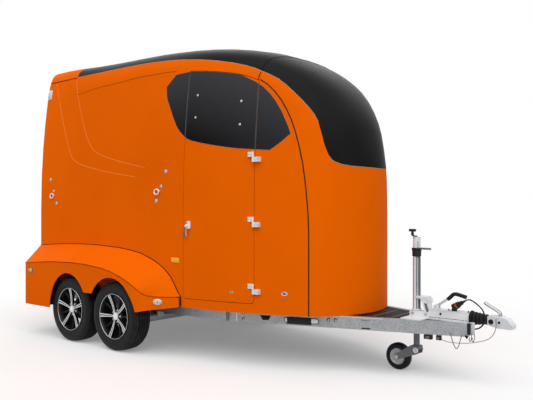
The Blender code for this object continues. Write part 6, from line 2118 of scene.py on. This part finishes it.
@dataclass
class Studio:
    """Floor, backdrop, lights and camera.

    Attributes:
        floor_half: Half length of the floor.
        fade: Distances between which the floor fades to white.
        bounce: Colour of the light that the floor throws back.
        lift: Brightness that is added to the floor's shadows.
        lamps: The broad light overhead and the weaker one from the front.
        sky_strength: Strength of the light from all round.
        sky: Rises of a ray between which the sky brightens, and its brightness at each.
        mirrored_sky: The same for the sky that gloss mirrors.
        eye: Place of the camera in the frame.
        azimuth: Turn of the camera from straight across the trailer, in degrees.
        lens_mm: Focal length over the 36 mm sensor.
        rise: Upward shift of the picture, as a share of its width.
    """

    floor_half: float = 40.0
    fade: tuple[float, float] = (3.0, 6.5)
    bounce: str = "#A8A8A8"
    lift: float = 0.21
    lamps: tuple[Lamp, ...] = (
        Lamp("key_light", 1.50, 70.0, 32.0, 28.0),
        Lamp("front_fill", 0.60, 90.0, 75.0, 60.0),
    )
    sky_strength: float = 0.68
    sky: tuple[float, float, float, float] = (0.05, 0.85, 0.74, 1.0)
    mirrored_sky: tuple[float, float, float, float] = (0.00, 0.70, 0.35, 1.2)
    eye: Point = (4.023, -4.7255, 1.2907)
    azimuth: float = 39.9
    lens_mm: float = 43.77
    rise: float = 0.01876

    def build(self) -> None:
        """Make the floor, the lights and the camera, with plain display of colours."""
        self.lay_floor()
        self.light()
        self.set_camera()
        bpy.context.scene.view_settings.view_transform = "Standard"

    def lay_floor(self) -> None:
        """Lay a pale floor that keeps the shadow and runs to white."""
        put_down()
        bpy.ops.mesh.primitive_plane_add(size=2 * self.floor_half, location=(0, 0, -0.0005))
        floor = bpy.context.object
        floor.name = "studio_floor"
        made = bpy.data.materials.new("matt_white_floor")
        made.use_nodes = True
        tree = made.node_tree
        tree.nodes.clear()
        place = add_node(tree, "ShaderNodeTexCoord").outputs["Object"]
        seen = self.seen_rays(tree)
        patches = Mottle(900).raw(tree, place)
        inputs = {0: patches, 6: linear("#DEDEDE"), 7: linear("#DADADA")}
        tone = add_node(tree, "ShaderNodeMix", inputs, data_type="RGBA").outputs[2]
        inputs = {0: seen, 6: linear(self.bounce), 7: tone}
        matt_tone = add_node(tree, "ShaderNodeMix", inputs, data_type="RGBA").outputs[2]
        matt = add_node(tree, "ShaderNodeBsdfDiffuse", {"Color": matt_tone}).outputs[0]
        lift = add_node(tree, "ShaderNodeEmission", {"Color": (1, 1, 1, 1), "Strength": self.lift}).outputs[0]
        near = add_node(tree, "ShaderNodeAddShader", {0: matt, 1: lift}).outputs[0]
        white = add_node(tree, "ShaderNodeEmission", {"Color": (1, 1, 1, 1), "Strength": 1.0}).outputs[0]
        away = add_node(tree, "ShaderNodeVectorMath", {0: place}, operation="LENGTH").outputs["Value"]
        inputs = {0: away, 1: self.fade[0], 2: self.fade[1], 3: 0.0, 4: 1.0}
        far = add_node(tree, "ShaderNodeMapRange", inputs, interpolation_type="SMOOTHSTEP").outputs[0]
        faded = add_node(tree, "ShaderNodeMixShader", {0: far, 1: near, 2: white}).outputs[0]
        shown = add_node(tree, "ShaderNodeMixShader", {0: seen, 1: matt, 2: faded}).outputs[0]
        add_node(tree, "ShaderNodeOutputMaterial", {"Surface": shown})
        floor.data.materials.append(made)

    def seen_rays(self, tree: Tree) -> Socket:
        """Tell the rays that the camera, gloss and glass see from the others.

        Args:
            tree: Nodes of the floor's material.

        Returns:
            1 for such rays.
        """
        rays = add_node(tree, "ShaderNodeLightPath").outputs
        seen = rays["Is Camera Ray"]
        for kind in ("Is Glossy Ray", "Is Transmission Ray"):
            seen = add_node(tree, "ShaderNodeMath", {0: seen, 1: rays[kind]}, operation="MAXIMUM").outputs[0]
        return seen

    def light(self) -> None:
        """Set a plain sky that is white to the camera, and the broad lights."""
        world = bpy.data.worlds.new("studio_sky")
        bpy.context.scene.world = world
        world.use_nodes = True
        tree = world.node_tree
        rays = add_node(tree, "ShaderNodeLightPath").outputs
        way = add_node(tree, "ShaderNodeTexCoord").outputs["Generated"]
        up = add_node(tree, "ShaderNodeSeparateXYZ", {0: way}).outputs[2]
        skies = []
        for low, high, dim, bright in (self.sky, self.mirrored_sky):
            inputs = {0: up, 1: low, 2: high, 3: dim, 4: bright}
            slope = add_node(tree, "ShaderNodeMapRange", inputs, interpolation_type="SMOOTHSTEP")
            skies.append(slope.outputs[0])
        inputs = {0: skies[0], 1: self.sky_strength}
        soft = add_node(tree, "ShaderNodeMath", inputs, operation="MULTIPLY").outputs[0]
        mirrored = add_node(tree, "ShaderNodeMix", {0: rays["Is Glossy Ray"], 2: soft, 3: skies[1]}).outputs[0]
        strength = add_node(tree, "ShaderNodeMix", {0: rays["Is Camera Ray"], 2: mirrored, 3: 1.0}).outputs[0]
        background = tree.nodes["Background"]
        background.inputs["Color"].default_value = (1, 1, 1, 1)
        tree.links.new(strength, background.inputs["Strength"])
        put_down()
        for lamp in self.lamps:
            bpy.ops.object.light_add(type="SUN", location=(0, 0, 6))
            light = bpy.context.object
            light.name = lamp.name
            light.data.energy = lamp.energy
            light.data.angle = math.radians(lamp.spread)
            light.rotation_euler = (math.radians(lamp.tilt), 0, math.radians(lamp.turn))

    def set_camera(self) -> None:
        """Stand the camera where the reference view was taken."""
        put_down()
        bpy.ops.object.camera_add(
            location=self.eye, rotation=(math.radians(90), 0, math.radians(self.azimuth))
        )
        camera = bpy.context.object
        camera.name = "reference_view"
        camera.data.sensor_width = 36.0
        camera.data.lens = self.lens_mm
        camera.data.shift_y = self.rise
        camera.data.clip_end = 200.0
        bpy.context.scene.camera = camera


def dress_frame() -> None:
    """Give every node of the frame its own finish or that of its material slot."""
    for part in frame["record"]["subparts"]:
        finish = NODE_FINISHES.get(part["node"], SLOT_FINISHES[part["material_slot"]])
        material = finish.material()
        for slot in frame["nodes"][part["node"]].material_slots:
            slot.material = material


def main() -> None:
    """Build the studio and every sub-assembly in order."""
    logging.basicConfig(level=logging.INFO, format="%(message)s")
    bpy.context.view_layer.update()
    Studio().build()
    dress_frame()
    for assembly in ASSEMBLIES:
        assembly.build()
        log.info("%s is built", type(assembly).__name__)


if __name__ == "__main__":
    main()
